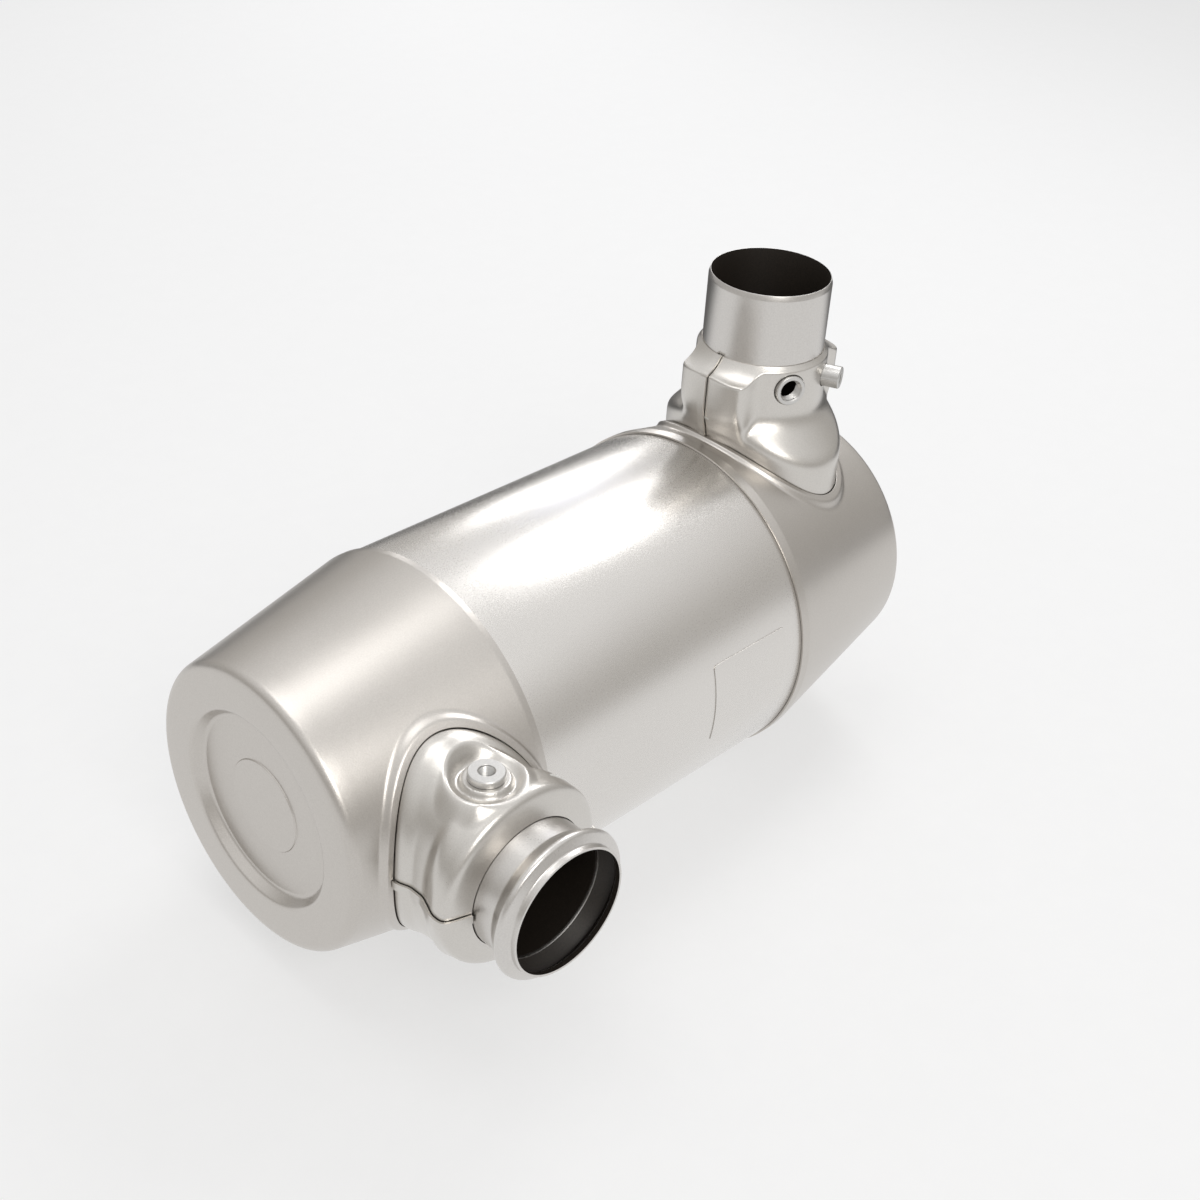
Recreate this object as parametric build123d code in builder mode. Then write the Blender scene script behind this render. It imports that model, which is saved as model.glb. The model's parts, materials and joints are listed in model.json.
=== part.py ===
"""Selective catalytic reduction converter for a heavy diesel engine.

A rolled can of 320 mm holds three ceramic bricks in their mats. A drawn cup slips
over each end of the can. Each cup has a hot liner, a fibre blanket and an oval
collar, and a neck of two stamped halves stands in that collar round its tube.

The X axis runs along the can, from the outlet cup to the inlet cup. The inlet neck
points up (+Z) and the outlet neck points to the front (-Y). The origin lies on the
can's axis at the middle of its bare length. All lengths are in millimetres.
"""

import os
from math import copysign, cos, pi, sin

from build123d import *

os.makedirs("parts", exist_ok=True)

# Fits between pieces
slip = 0.3
lap_slip = 0.2
mat_slip = 0.15

# Can
can_radius = 160.0
can_gauge = 1.5
can_bare_half = 162.0
can_lap = 5.0
can_half = can_bare_half + can_lap
can_bore = can_radius - can_gauge

# Bricks and mats
brick_radius = 152.4
scr_brick_length = 127.0
slip_brick_length = 50.8
brick_gap = 6.0
mat_margin = 6.0
stack_half = scr_brick_length + slip_brick_length / 2 + brick_gap

# Stop rings at both ends of the bricks
stop_ring_gauge = 1.5
stop_ring_depth = 9.0

# End cups
cup_gauge = 1.8
lip_radius = can_radius + lap_slip + cup_gauge
lip_bend = 12.0
inlet_lip_end = 172.0
inlet_cap_x = 358.0
inlet_cap_radius = 126.9
outlet_lip_end = 168.0
outlet_cap_x = 338.0
outlet_cap_radius = 128.4
cap_corner = 10.0
dish_rim_radius = 88.8
dish_floor_radius = 82.0
dish_depth = 10.4
dish_bend = 5.0
coin_radius = 42.0
coin_height = 1.2
coin_wall = 0.8

# Hot liners and their blankets
liner_gauge = 1.2
liner_lip_length = 8.0
liner_shoulder_run = 22.0
liner_corner = 15.0
liner_bend = 8.0
blanket_thickness = 8.0
cap_blanket_thickness = 4.0
blanket_start = 12.0

# Flow baffle
baffle_gauge = 1.5
baffle_rim_length = 7.0
baffle_hole_radius = 9.0
baffle_pitch = 30.0
baffle_rings = 4
baffle_holes_in_ring = 6

# Collars and neck stampings
neck_gauge = 1.8
collar_height = 4.0
collar_gauge = 1.8
collar_root = 3.5
strap_width = 8.0
strap_overhang = 2.0
mouth_land = 1.0

# Tubes
tube_radius = 57.15
tube_gauge = 2.0
tube_rim_chamfer = 1.2
tube_depth = 18.0
inlet_tube_top = 309.4
outlet_tube_mouth = 253.5
bead_start = 228.0
bead_crest = 243.0
bead_end = 248.5
bead_radius = 68.6
bead_bend = 4.0
bead_foot_bend = 2.0

# Inlet neck: place of its axis, and heights above the can's axis
inlet_axis_x = 257.4
inlet_oval_half_width = 67.0
inlet_oval_half_length = 94.0
inlet_oval_shift = -1.0
inlet_foot = 90.0
bulge_radius = 62.0
skirt_crease_height = 187.0
skirt_slope = 35 / 30
skirt_crease_bend = 8.0
skirt_rim_round = 6.0
drum_radius = 77.0
drum_foot_radius = 66.0
drum_foot_height = 161.0
drum_wall_height = 183.0
drum_wall_bend = 10.0
drum_shoulder_height = 226.5
drum_shoulder_round = 5.0
flare_radius = 66.0
flare_height = 230.5
flare_bend = 10.0
inlet_mouth_height = 241.8
ear_half_width = 38.0
ear_corner = 7.0

# Outlet neck: place of its axis, and distances from the can's axis
outlet_axis_x = -230.2
outlet_oval_half_width = 69.5
outlet_oval_half_length = 98.5
outlet_oval_shift = -7.5
outlet_foot = 118.0
outlet_drum_radius = 81.0
outlet_drum_start = 190.0
outlet_waist = [
    (128.0, 76.0, 61.2, 96.2, 2.0),
    (140.0, 74.6, 60.2, 93.0, 2.0),
    (153.0, 73.0, 59.4, 90.0, 2.05),
    (165.5, 73.0, 59.8, 87.3, 2.15),
    (177.0, 76.5, 69.5, 84.5, 2.3),
]
outlet_shoulder = 199.5
outlet_shoulder_round = 7.0
outlet_mouth_height = 206.5

# Dimple round the temperature sensor's boss, heights above the can's axis
dimple_shift = -8.4
dimple_y = -166.0
crater_wall_slope = 0.85
crater_floor_radius = 24.5
crater_floor_height = 79.0
crater_bend = 2.5
pad_radius = 19.5
pad_height = 84.0
pad_wall = 1.5
pad_round = 2.5
temperature_boss_radius = 15.2
temperature_boss_top = 90.4
temperature_spigot_radius = 10.5
temperature_thread_minor = 6.19

# Edge of the lapping half, from each neck's axis across its seam
inlet_seam = 0.0
outlet_seam = -2.0

# Bosses on the inlet tube
boss_height = 219.0
boss_angle = 24.0
nox_boss_radius = 14.5
nox_boss_reach = 65.0
nox_thread_minor = 9.19
port_boss_radius = 10.5
port_boss_reach = 78.0
port_thread_minor = 4.46
boss_clearance = 0.8
boss_chamfer = 0.8

# Data plate on the can
plate_start_x = 43.0
plate_length = 96.0
plate_gauge = 0.6
plate_gap = 0.1
plate_top = 48.0
plate_bottom = -32.0
plate_corner = 4.0

# Reference planes and outlines shared by the pieces
inlet_plane = Plane(origin=(inlet_axis_x, 0, 0), x_dir=(1, 0, 0), z_dir=(0, 0, 1))
outlet_plane = Plane(origin=(outlet_axis_x, 0, 0), x_dir=(1, 0, 0), z_dir=(0, -1, 0))
dimple_origin = (outlet_axis_x + dimple_shift, dimple_y, 0)
dimple_plane = Plane(origin=dimple_origin, x_dir=(1, 0, 0), z_dir=(0, 0, 1))
inlet_cup = (inlet_lip_end, inlet_cap_x, inlet_cap_radius)
outlet_cup = (outlet_lip_end, outlet_cap_x, outlet_cap_radius)
inlet_oval = (inlet_oval_half_width, inlet_oval_half_length, inlet_oval_shift)
outlet_oval = (outlet_oval_half_width, outlet_oval_half_length, outlet_oval_shift)
cup_corners = [coin_wall / 2, coin_wall / 2, dish_bend, dish_bend, cap_corner, lip_bend]
liner_corners = [liner_corner, liner_bend, liner_bend]
beyond = 500.0
plain_oval = 2.0
oval_steps = 12


def write(piece, name):
    """Label a finished piece and write its file."""
    piece.part.label = name
    export_step(piece.part, "parts/" + name + ".step")


def cone_radius(x, lip_end, cap_x, cap_radius):
    """Radius of a cup's outer skin at a distance x along the can."""
    return lip_radius + (cap_radius - lip_radius) * (x - lip_end) / (cap_x - lip_end)


def cup_points(lip_end, cap_x, cap_radius):
    """Outer skin of a drawn cup, from the middle of its cap to the edge of its lip."""
    floor_x = cap_x - dish_depth
    return [
        (floor_x + coin_height, 0),
        (floor_x + coin_height, coin_radius - coin_wall),
        (floor_x, coin_radius),
        (floor_x, dish_floor_radius),
        (cap_x, dish_rim_radius),
        (cap_x, cap_radius),
        (lip_end, lip_radius),
        (can_bare_half, lip_radius),
    ]


def liner_points(lip_end, cap_x, cap_radius):
    """Outer skin of a hot liner, from the middle of its end to the edge of its lip."""
    end_x = cap_x - dish_depth - cup_gauge - cap_blanket_thickness
    lip_x = can_bare_half + liner_lip_length
    shoulder_x = lip_x + liner_shoulder_run
    inset = cup_gauge + blanket_thickness
    return [
        (end_x, 0),
        (end_x, cone_radius(end_x, lip_end, cap_x, cap_radius) - inset),
        (shoulder_x, cone_radius(shoulder_x, lip_end, cap_x, cap_radius) - inset),
        (lip_x, can_bore - slip),
        (can_bare_half + slip, can_bore - slip),
    ]


def turned_solid(points, corners):
    """Solid turned about the X axis, whose skin runs from the axis to an open end."""
    with BuildPart() as solid:
        with BuildSketch(Plane.XY):
            with BuildLine():
                skin = FilletPolyline(*points, radius=corners)
                Polyline(skin @ 1, (points[-1][0], 0), skin @ 0)
            make_face()
        revolve(axis=Axis.X)
    return solid.part


def turned_sheet(points, corners, gauge, side=Side.LEFT):
    """Sheet turned about the X axis, one gauge thick, on one side of such a skin."""
    with BuildPart() as sheet:
        with BuildSketch(Plane.XY):
            with BuildLine():
                FilletPolyline(*points, radius=corners)
                offset(amount=gauge, side=side)
            make_face()
        revolve(axis=Axis.X)
    return sheet.part


def cup_cone(lip_end, cap_x, cap_radius, lift):
    """Plain solid inside the lip and cone of a cup, raised by a lift."""
    with BuildPart() as cone:
        with BuildSketch(Plane.XY):
            Polygon(
                (0, 0),
                (0, lip_radius + lift),
                (lip_end, lip_radius + lift),
                (cap_x, cap_radius + lift),
                (cap_x, 0),
                align=None,
            )
        revolve(axis=Axis.X)
    return cone.part


def oval_prism(plane, half_width, half_length, shift, grow, start=0.0):
    """Straight oval column along a neck's axis, outward past its collar."""
    with BuildPart() as column:
        with BuildSketch(plane.offset(start)):
            with Locations((shift, 0)):
                Ellipse(half_width + grow, half_length + grow)
        extrude(amount=beyond - start)
    return column.part


def lies_on_skin(edge, cup):
    """Whether an edge's middle lies on the lip or cone of a cup."""
    middle = edge @ 0.5
    radius = (middle.Y**2 + middle.Z**2) ** 0.5
    return radius < min(lip_radius, cone_radius(abs(middle.X), *cup)) + collar_root / 2


def collar(plane, oval, cup, turn):
    """Solid oval plug that stands one collar height proud of a cup's cone."""
    with BuildPart() as plug:
        add(oval_prism(plane, *oval, slip + collar_gauge))
        add(turn(cup_cone(*cup, collar_height)), mode=Mode.INTERSECT)
    return plug.part


def round_bar(plane, radius, start, end):
    """Round bar along a plane's axis between two distances."""
    with BuildPart() as bar:
        with BuildSketch(plane.offset(start)):
            Circle(radius)
        extrude(amount=end - start)
    return bar.part


def full_oval(half_width, half_length, shift, fullness):
    """Closed curve between an ellipse and a rectangle, fuller at its corners."""
    points = []
    for step in range(oval_steps):
        turn = 2 * pi * step / oval_steps
        across = copysign(abs(cos(turn)) ** (plain_oval / fullness), cos(turn))
        along = copysign(abs(sin(turn)) ** (plain_oval / fullness), sin(turn))
        points.append((shift + half_width * across, half_length * along))
    return Spline(*points, periodic=True)


def loft_ovals(plane, sections, grow):
    """Smooth loft through full ovals: height, reach left and right, half length, fullness."""
    with BuildPart() as body:
        for height, left, right, half_length, fullness in sections:
            half_width = (left + right) / 2
            shift = (right - left) / 2
            with BuildSketch(plane.offset(height)):
                if fullness == plain_oval:
                    with Locations((shift, 0)):
                        Ellipse(half_width + grow, half_length + grow)
                else:
                    with BuildLine():
                        full_oval(half_width + grow, half_length + grow, shift, fullness)
                    make_face()
        loft()
    return body.part


def at_inlet(shape):
    """The same turned shape at the inlet end of the can."""
    return shape


def at_outlet(shape):
    """The same turned shape at the outlet end of the can."""
    return shape.mirror(Plane.YZ)


# Can

with BuildPart() as catalyst_shell:
    with BuildSketch(Plane.YZ.offset(-can_half)):
        Circle(can_radius)
        Circle(can_bore, mode=Mode.SUBTRACT)
    extrude(amount=2 * can_half)
write(catalyst_shell, "catalyst_shell")

with BuildPart() as data_plate:
    with BuildSketch(Plane.XZ):
        with Locations((plate_start_x + plate_length / 2, (plate_top + plate_bottom) / 2)):
            RectangleRounded(plate_length, plate_top - plate_bottom, plate_corner)
    extrude(amount=can_radius + plate_gap + plate_gauge)
    with BuildSketch(Plane.YZ):
        Circle(can_radius + plate_gap + plate_gauge)
        Circle(can_radius + plate_gap, mode=Mode.SUBTRACT)
    extrude(amount=plate_start_x + plate_length, mode=Mode.INTERSECT)
write(data_plate, "data_plate")

# Bricks from the inlet side to the outlet side, each in its own mat

stack = [
    ("scr_brick_upstream", "mat_upstream", scr_brick_length),
    ("scr_brick_downstream", "mat_downstream", scr_brick_length),
    ("ammonia_slip_brick", "mat_slip", slip_brick_length),
]
brick_end = stack_half
for brick_name, mat_name, length in stack:
    with BuildPart() as brick:
        with BuildSketch(Plane.YZ.offset(brick_end - length)):
            Circle(brick_radius)
        extrude(amount=length)
    write(brick, brick_name)

    with BuildPart() as mat:
        with BuildSketch(Plane.YZ.offset(brick_end - length + mat_margin)):
            Circle(can_bore - mat_slip)
            Circle(brick_radius + mat_slip, mode=Mode.SUBTRACT)
        extrude(amount=length - 2 * mat_margin)
    write(mat, mat_name)
    brick_end = brick_end - length - brick_gap

# Stop rings, an angle section with its foot against the can

stop_ring_length = can_bare_half - stack_half - 2 * slip
for ring_name, turn in [("stop_ring_inlet", at_inlet), ("stop_ring_outlet", at_outlet)]:
    with BuildPart() as ring_body:
        with BuildSketch(Plane.YZ.offset(stack_half + slip)):
            Circle(can_bore - slip)
            Circle(can_bore - slip - stop_ring_depth, mode=Mode.SUBTRACT)
        extrude(amount=stop_ring_gauge)
        with BuildSketch(Plane.YZ.offset(stack_half + slip)):
            Circle(can_bore - slip)
            Circle(can_bore - slip - stop_ring_gauge, mode=Mode.SUBTRACT)
        extrude(amount=stop_ring_length)
    with BuildPart() as stop_ring:
        add(turn(ring_body.part))
    write(stop_ring, ring_name)

# End cups, each with an oval collar drawn outward round its neck

cups = [
    ("inlet_housing", inlet_plane, inlet_oval, inlet_cup, at_inlet),
    ("outlet_housing", outlet_plane, outlet_oval, outlet_cup, at_outlet),
]
for cup_name, plane, oval, cup, turn in cups:
    skin = turned_solid(cup_points(*cup), cup_corners)
    sheet = turned_sheet(cup_points(*cup), cup_corners, cup_gauge)
    with BuildPart() as housing:
        add(turn(skin))
        skin_edges = housing.edges()
        add(collar(plane, oval, cup, turn))
        collar_edges = (housing.edges() - skin_edges).filter_by(GeomType.BSPLINE)
        fillet([edge for edge in collar_edges if lies_on_skin(edge, cup)], collar_root)
        add(turn(skin - sheet), mode=Mode.SUBTRACT)
        add(oval_prism(plane, *oval, slip), mode=Mode.SUBTRACT)
    write(housing, cup_name)

# Hot liners inside the cups, each with a hole for its tube

liner_radius = can_bore - slip
tubes = [
    ("inlet_liner", "inlet_housing_blanket", inlet_plane, inlet_cup, at_inlet),
    ("outlet_liner", "outlet_housing_blanket", outlet_plane, outlet_cup, at_outlet),
]
for liner_name, blanket_name, plane, cup, turn in tubes:
    tube_hole = round_bar(plane, tube_radius + slip, 0, beyond)
    with BuildPart() as liner:
        add(turn(turned_sheet(liner_points(*cup), liner_corners, liner_gauge)))
        add(tube_hole, mode=Mode.SUBTRACT)
    write(liner, liner_name)

    with BuildPart() as housing_blanket:
        add(turn(turned_solid(cup_points(*cup), cup_corners)))
        add(turn(turned_sheet(cup_points(*cup), cup_corners, cup_gauge + slip)), mode=Mode.SUBTRACT)
        add(turn(turned_solid(liner_points(*cup), liner_corners)), mode=Mode.SUBTRACT)
        add(
            turn(turned_sheet(liner_points(*cup), liner_corners, slip, Side.RIGHT)),
            mode=Mode.SUBTRACT,
        )
        add(
            turn(round_bar(Plane.YZ, lip_radius, 0, can_half + blanket_start)),
            mode=Mode.SUBTRACT,
        )
        add(tube_hole, mode=Mode.SUBTRACT)
    write(housing_blanket, blanket_name)

# Flow baffle, a perforated plate with a rim in the inlet liner's lip

baffle_radius = liner_radius - liner_gauge - slip
baffle_start = can_bare_half + 2 * slip
with BuildPart() as flow_baffle:
    with BuildSketch(Plane.YZ.offset(baffle_start)):
        Circle(baffle_radius)
        Circle(baffle_radius - baffle_gauge, mode=Mode.SUBTRACT)
    extrude(amount=baffle_rim_length)
    with BuildSketch(Plane.YZ.offset(baffle_start + baffle_rim_length - baffle_gauge)):
        Circle(baffle_radius)
        Circle(baffle_hole_radius, mode=Mode.SUBTRACT)
        for ring in range(1, baffle_rings + 1):
            with PolarLocations(ring * baffle_pitch, ring * baffle_holes_in_ring):
                Circle(baffle_hole_radius, mode=Mode.SUBTRACT)
    extrude(amount=baffle_gauge)
write(flow_baffle, "flow_baffle")


# Places of the bosses on the inlet tube

def boss_plane(angle):
    """Plane of a boss on the inlet tube, turned from the front toward the inlet cap."""
    outward = Vector(0, -1, 0).rotate(Axis.Z, angle)
    return Plane(origin=(inlet_axis_x, 0, boss_height), x_dir=(0, 0, 1), z_dir=outward)


nox_plane = boss_plane(-boss_angle)
port_plane = boss_plane(boss_angle)


# Shapes shared by both necks

def profile_of(plane):
    """Plane that holds a neck's axis, with radius across and height along it."""
    return Plane(origin=plane.origin, x_dir=plane.x_dir, z_dir=plane.y_dir * -1)


def moved_skin(points, corners, grow):
    """A skin of straight runs moved outward by a growth, with corner radii to match."""
    joints = [Vector(*point) for point in points]
    runs = [(end - start).normalized() for start, end in zip(joints, joints[1:])]
    normals = [Vector(run.Y, -run.X) for run in runs]
    moved = [joints[0] + normals[0] * grow]
    radii = []
    for index, radius in enumerate(corners, start=1):
        before, after = normals[index - 1], normals[index]
        moved.append(joints[index] + (before + after) * (grow / (1 + before.dot(after))))
        bulges = runs[index - 1].cross(runs[index]).Z > 0
        radii.append(radius + grow if bulges else radius - grow)
    moved.append(joints[-1] + normals[-1] * grow)
    return moved, radii


def neck_turned(plane, points, corners, grow):
    """Solid turned about a neck's axis inside a skin of radius and height points."""
    moved, radii = moved_skin(points, corners, grow)
    with BuildPart() as solid:
        with BuildSketch(profile_of(plane)):
            with BuildLine():
                skin = FilletPolyline(*moved, radius=radii)
                Polyline(skin @ 1, (0, moved[-1].Y), (0, moved[0].Y), skin @ 0)
            make_face()
        revolve(axis=Axis(plane.origin, plane.z_dir))
    return solid.part


def past_seam(plane, side, distance):
    """Everything past a distance across a neck's seam, on one side of it."""
    across = Plane(origin=plane.origin, x_dir=plane.x_dir, z_dir=plane.y_dir * side)
    with BuildPart() as half:
        with BuildSketch(across.offset(distance)):
            Rectangle(beyond, 2 * beyond)
        extrude(amount=beyond)
    return half.part


def outer_edges(body, low, high):
    """Edges of a body whose middles lie between two heights, without straight ones."""
    curved = body.edges().filter_by(lambda edge: edge.geom_type != GeomType.LINE)
    return curved.filter_by(lambda edge: low < (edge @ 0.5).Z < high)


# Inlet neck

def inlet_form(grow):
    """Outer form of the inlet neck's stampings, moved outward by a growth."""
    wide = 2 * bulge_radius
    tall = drum_wall_height + 3 * skirt_crease_bend
    skirt_points = [
        (wide, inlet_foot),
        (wide, skirt_crease_height - skirt_slope * (wide - bulge_radius)),
        (bulge_radius, skirt_crease_height),
        (bulge_radius, tall),
    ]
    drum_points = [
        (drum_foot_radius, inlet_foot),
        (drum_foot_radius, drum_foot_height),
        (drum_radius, drum_wall_height),
        (drum_radius, drum_shoulder_height),
        (flare_radius, flare_height),
        (tube_radius + slip + mouth_land, inlet_mouth_height),
    ]
    skirt_corners = [skirt_crease_bend, skirt_crease_bend]
    drum_corners = [drum_wall_bend, drum_wall_bend, drum_shoulder_round, flare_bend]
    with BuildPart() as skirt:
        add(oval_prism(inlet_plane, *inlet_oval, grow, inlet_foot))
        add(neck_turned(inlet_plane, skirt_points, skirt_corners, grow), mode=Mode.INTERSECT)
        rim = outer_edges(skirt, inlet_foot + skirt_crease_bend, skirt_crease_height - skirt_rim_round)
        fillet(rim, skirt_rim_round + grow)
    with BuildPart() as form:
        with BuildSketch(inlet_plane.offset(inlet_foot)) as plan:
            Circle(drum_radius + grow)
            Rectangle(4 * drum_radius, 2 * (ear_half_width + grow), mode=Mode.INTERSECT)
            fillet(plan.vertices(), ear_corner + grow)
            Circle(bulge_radius + grow)
            fillet(plan.vertices().sort_by(lambda corner: abs(corner.X))[:4], ear_corner - grow)
        extrude(amount=beyond)
        add(neck_turned(inlet_plane, drum_points, drum_corners, grow), mode=Mode.INTERSECT)
        add(skirt.part)
    return form.part


def outlet_form(grow):
    """Outer form of the outlet neck's stampings, moved outward by a growth."""
    left = outlet_oval_half_width - outlet_oval_shift
    right = outlet_oval_half_width + outlet_oval_shift
    drum = outlet_drum_radius
    sections = [
        (outlet_foot, left, right, outlet_oval_half_length, plain_oval),
        *outlet_waist,
        (outlet_drum_start, drum, drum, drum, plain_oval),
    ]
    cap_points = [
        (drum, outlet_drum_start + neck_gauge),
        (drum, outlet_shoulder),
        (tube_radius + slip + mouth_land, outlet_mouth_height),
    ]
    crater_reach = outlet_oval_half_length - crater_floor_height
    crater_points = [
        (crater_floor_radius + crater_reach / crater_wall_slope, crater_floor_height + crater_reach),
        (crater_floor_radius, crater_floor_height),
        (pad_radius + pad_wall, crater_floor_height),
        (pad_radius, pad_height),
        (pad_radius / 2, pad_height),
    ]
    with BuildPart() as form:
        with BuildSketch(outlet_plane.offset(outlet_foot / 2)):
            with Locations((outlet_oval_shift, 0)):
                Ellipse(outlet_oval_half_width + grow, outlet_oval_half_length + grow)
        extrude(amount=outlet_foot / 2)
        add(loft_ovals(outlet_plane, sections, grow))
        with BuildSketch(outlet_plane.offset(outlet_drum_start)):
            Circle(drum + grow)
        extrude(amount=3 * neck_gauge)
        add(neck_turned(outlet_plane, cap_points, [outlet_shoulder_round], grow))
        add(
            neck_turned(dimple_plane, crater_points, [crater_bend, crater_bend, pad_round], grow),
            mode=Mode.SUBTRACT,
        )
    return form.part


def between_seams(shape, plane, side, start, end):
    """The slice of a neck's shape between two distances across its seam."""
    with BuildPart() as piece:
        add(shape)
        add(past_seam(plane, side, start), mode=Mode.INTERSECT)
        add(past_seam(plane, -side, -end), mode=Mode.INTERSECT)
    return piece.part


def under_half(sheet, plane, side, edge):
    """Half stamping whose edge runs on under the other half's strap."""
    with BuildPart() as half:
        add(sheet)
        add(past_seam(plane, -side, -(edge + strap_width - strap_overhang)), mode=Mode.INTERSECT)
    return half.part


def over_half(form, sheet, plane, side, edge, cup, turn):
    """Half stamping with a joggled strap that laps over the other half's edge."""
    joggle = edge + strap_width - strap_overhang + slip
    with BuildPart() as strap:
        add(between_seams(form(slip + neck_gauge), plane, side, edge, edge + strap_width))
        add(between_seams(form(slip), plane, side, edge - slip, joggle), mode=Mode.SUBTRACT)
        add(form(-neck_gauge / 2), mode=Mode.SUBTRACT)
        add(turn(cup_cone(*cup, collar_height + slip)), mode=Mode.SUBTRACT)
    with BuildPart() as half:
        add(sheet)
        add(past_seam(plane, side, joggle), mode=Mode.INTERSECT)
        add(strap.part)
    return half.part


def tube_inner_end(axis_x, cup):
    """Height at which a tube ends, some way inside its hole in the hot liner."""
    liner_height = cone_radius(abs(axis_x), *cup) - cup_gauge - blanket_thickness
    return liner_height - tube_depth


# Bosses: a threaded bush across the wall of each tube

def threaded_bush(plane, radius, reach, thread_minor, bore):
    """Round bush along a boss plane, open through its thread and trimmed by a tube's bore."""
    with BuildPart() as bush:
        add(round_bar(plane, radius, 0, reach))
        add(bore, mode=Mode.SUBTRACT)
        add(round_bar(plane, thread_minor, 0, beyond), mode=Mode.SUBTRACT)
        outward = Axis(plane.origin, plane.z_dir)
        chamfer(bush.edges().filter_by(GeomType.CIRCLE).sort_by(outward)[-2:], boss_chamfer)
    return bush.part


inlet_bore = round_bar(inlet_plane, tube_radius - tube_gauge, 0, beyond)
outlet_bore = round_bar(outlet_plane, tube_radius - tube_gauge, 0, beyond)

with BuildPart() as nox_sensor_boss:
    add(threaded_bush(nox_plane, nox_boss_radius, nox_boss_reach, nox_thread_minor, inlet_bore))
write(nox_sensor_boss, "nox_sensor_boss")

with BuildPart() as inlet_port_boss:
    add(threaded_bush(port_plane, port_boss_radius, port_boss_reach, port_thread_minor, inlet_bore))
write(inlet_port_boss, "inlet_port_boss")

with BuildPart() as temperature_sensor_boss:
    with BuildSketch(dimple_plane.offset(pad_height + slip)):
        Circle(temperature_boss_radius)
    extrude(amount=temperature_boss_top - pad_height - slip)
    chamfer(faces().sort_by(Axis.Z)[-1].edges(), boss_chamfer)
    with BuildSketch(dimple_plane):
        Circle(temperature_spigot_radius)
    extrude(amount=pad_height + 2 * slip)
    add(outlet_bore, mode=Mode.SUBTRACT)
    with BuildSketch(dimple_plane):
        Circle(temperature_thread_minor)
    extrude(amount=beyond, mode=Mode.SUBTRACT)
write(temperature_sensor_boss, "temperature_sensor_boss")

nox_hole = round_bar(nox_plane, nox_boss_radius + slip, 0, beyond)
port_hole = round_bar(port_plane, port_boss_radius + slip, 0, beyond)
spigot_hole = round_bar(dimple_plane, temperature_spigot_radius + slip, 0, beyond)

# Tubes

with BuildPart() as inlet_tube:
    with BuildSketch(profile_of(inlet_plane)) as section:
        inlet_tube_foot = tube_inner_end(inlet_axis_x, inlet_cup)
        with Locations((tube_radius - tube_gauge, inlet_tube_foot)):
            Rectangle(tube_gauge, inlet_tube_top - inlet_tube_foot, align=(Align.MIN, Align.MIN))
        chamfer(section.vertices().group_by(Axis.Y)[-1].sort_by(Axis.X)[-1], tube_rim_chamfer)
    revolve(axis=Axis(inlet_plane.origin, inlet_plane.z_dir))
    add(nox_hole, mode=Mode.SUBTRACT)
    add(port_hole, mode=Mode.SUBTRACT)
write(inlet_tube, "inlet_tube")

bead_points = [
    (tube_radius, tube_inner_end(outlet_axis_x, outlet_cup)),
    (tube_radius, bead_start),
    (bead_radius, bead_crest),
    (tube_radius, bead_end),
    (tube_radius, outlet_tube_mouth),
]
with BuildPart() as outlet_tube:
    with BuildSketch(profile_of(outlet_plane)):
        with BuildLine():
            FilletPolyline(*bead_points, radius=[bead_bend, bead_bend, bead_foot_bend])
            offset(amount=tube_gauge, side=Side.LEFT)
        make_face()
    revolve(axis=Axis(outlet_plane.origin, outlet_plane.z_dir))
    add(spigot_hole, mode=Mode.SUBTRACT)
write(outlet_tube, "outlet_tube")

# Neck stampings and the blankets under them

necks = [
    ("inlet_neck", "front", "rear", inlet_form, inlet_plane, 1, inlet_seam, inlet_cup, at_inlet),
    ("outlet_neck", "upper", "lower", outlet_form, outlet_plane, -1, outlet_seam, outlet_cup, at_outlet),
]
for neck_name, under_name, over_name, form, plane, side, edge, cup, turn in necks:
    mouth = round_bar(plane, tube_radius + slip, 0, beyond)
    with BuildPart() as neck_sheet:
        add(form(0))
        add(form(-neck_gauge), mode=Mode.SUBTRACT)
        add(mouth, mode=Mode.SUBTRACT)
        add(turn(cup_cone(*cup, 0)), mode=Mode.SUBTRACT)

    with BuildPart() as under:
        add(under_half(neck_sheet.part, plane, side, edge))
        add(round_bar(nox_plane, nox_boss_radius + boss_clearance, 0, beyond), mode=Mode.SUBTRACT)
        add(round_bar(port_plane, port_boss_radius + boss_clearance, 0, beyond), mode=Mode.SUBTRACT)
        add(spigot_hole, mode=Mode.SUBTRACT)
    write(under, neck_name + "_" + under_name)

    with BuildPart() as over:
        add(over_half(form, neck_sheet.part, plane, side, edge, cup, turn))
        add(mouth, mode=Mode.SUBTRACT)
    write(over, neck_name + "_" + over_name)

    with BuildPart() as neck_blanket:
        add(form(-neck_gauge - slip))
        add(mouth, mode=Mode.SUBTRACT)
        add(turn(cup_cone(*cup, -cup_gauge)), mode=Mode.SUBTRACT)
        add(nox_hole, mode=Mode.SUBTRACT)
        add(port_hole, mode=Mode.SUBTRACT)
        add(spigot_hole, mode=Mode.SUBTRACT)
    write(neck_blanket, neck_name + "_blanket")
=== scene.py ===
# %% [markdown]
# # An insulated catalytic converter in stainless steel
#
# The object is the exhaust converter of a heavy diesel engine: a rolled can, a drawn cup over each end,
# and two necks of stamped sheet. Everything one sees is thin stainless steel, so the lesson is about
# clean turned shapes, soft stamped shapes, and one metal in several finishes. We start from the packed
# model, which gives the frame.

# %% Load the frame
import json
import math

import bmesh
import bpy
import numpy as np
from mathutils import Matrix, Vector


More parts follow.
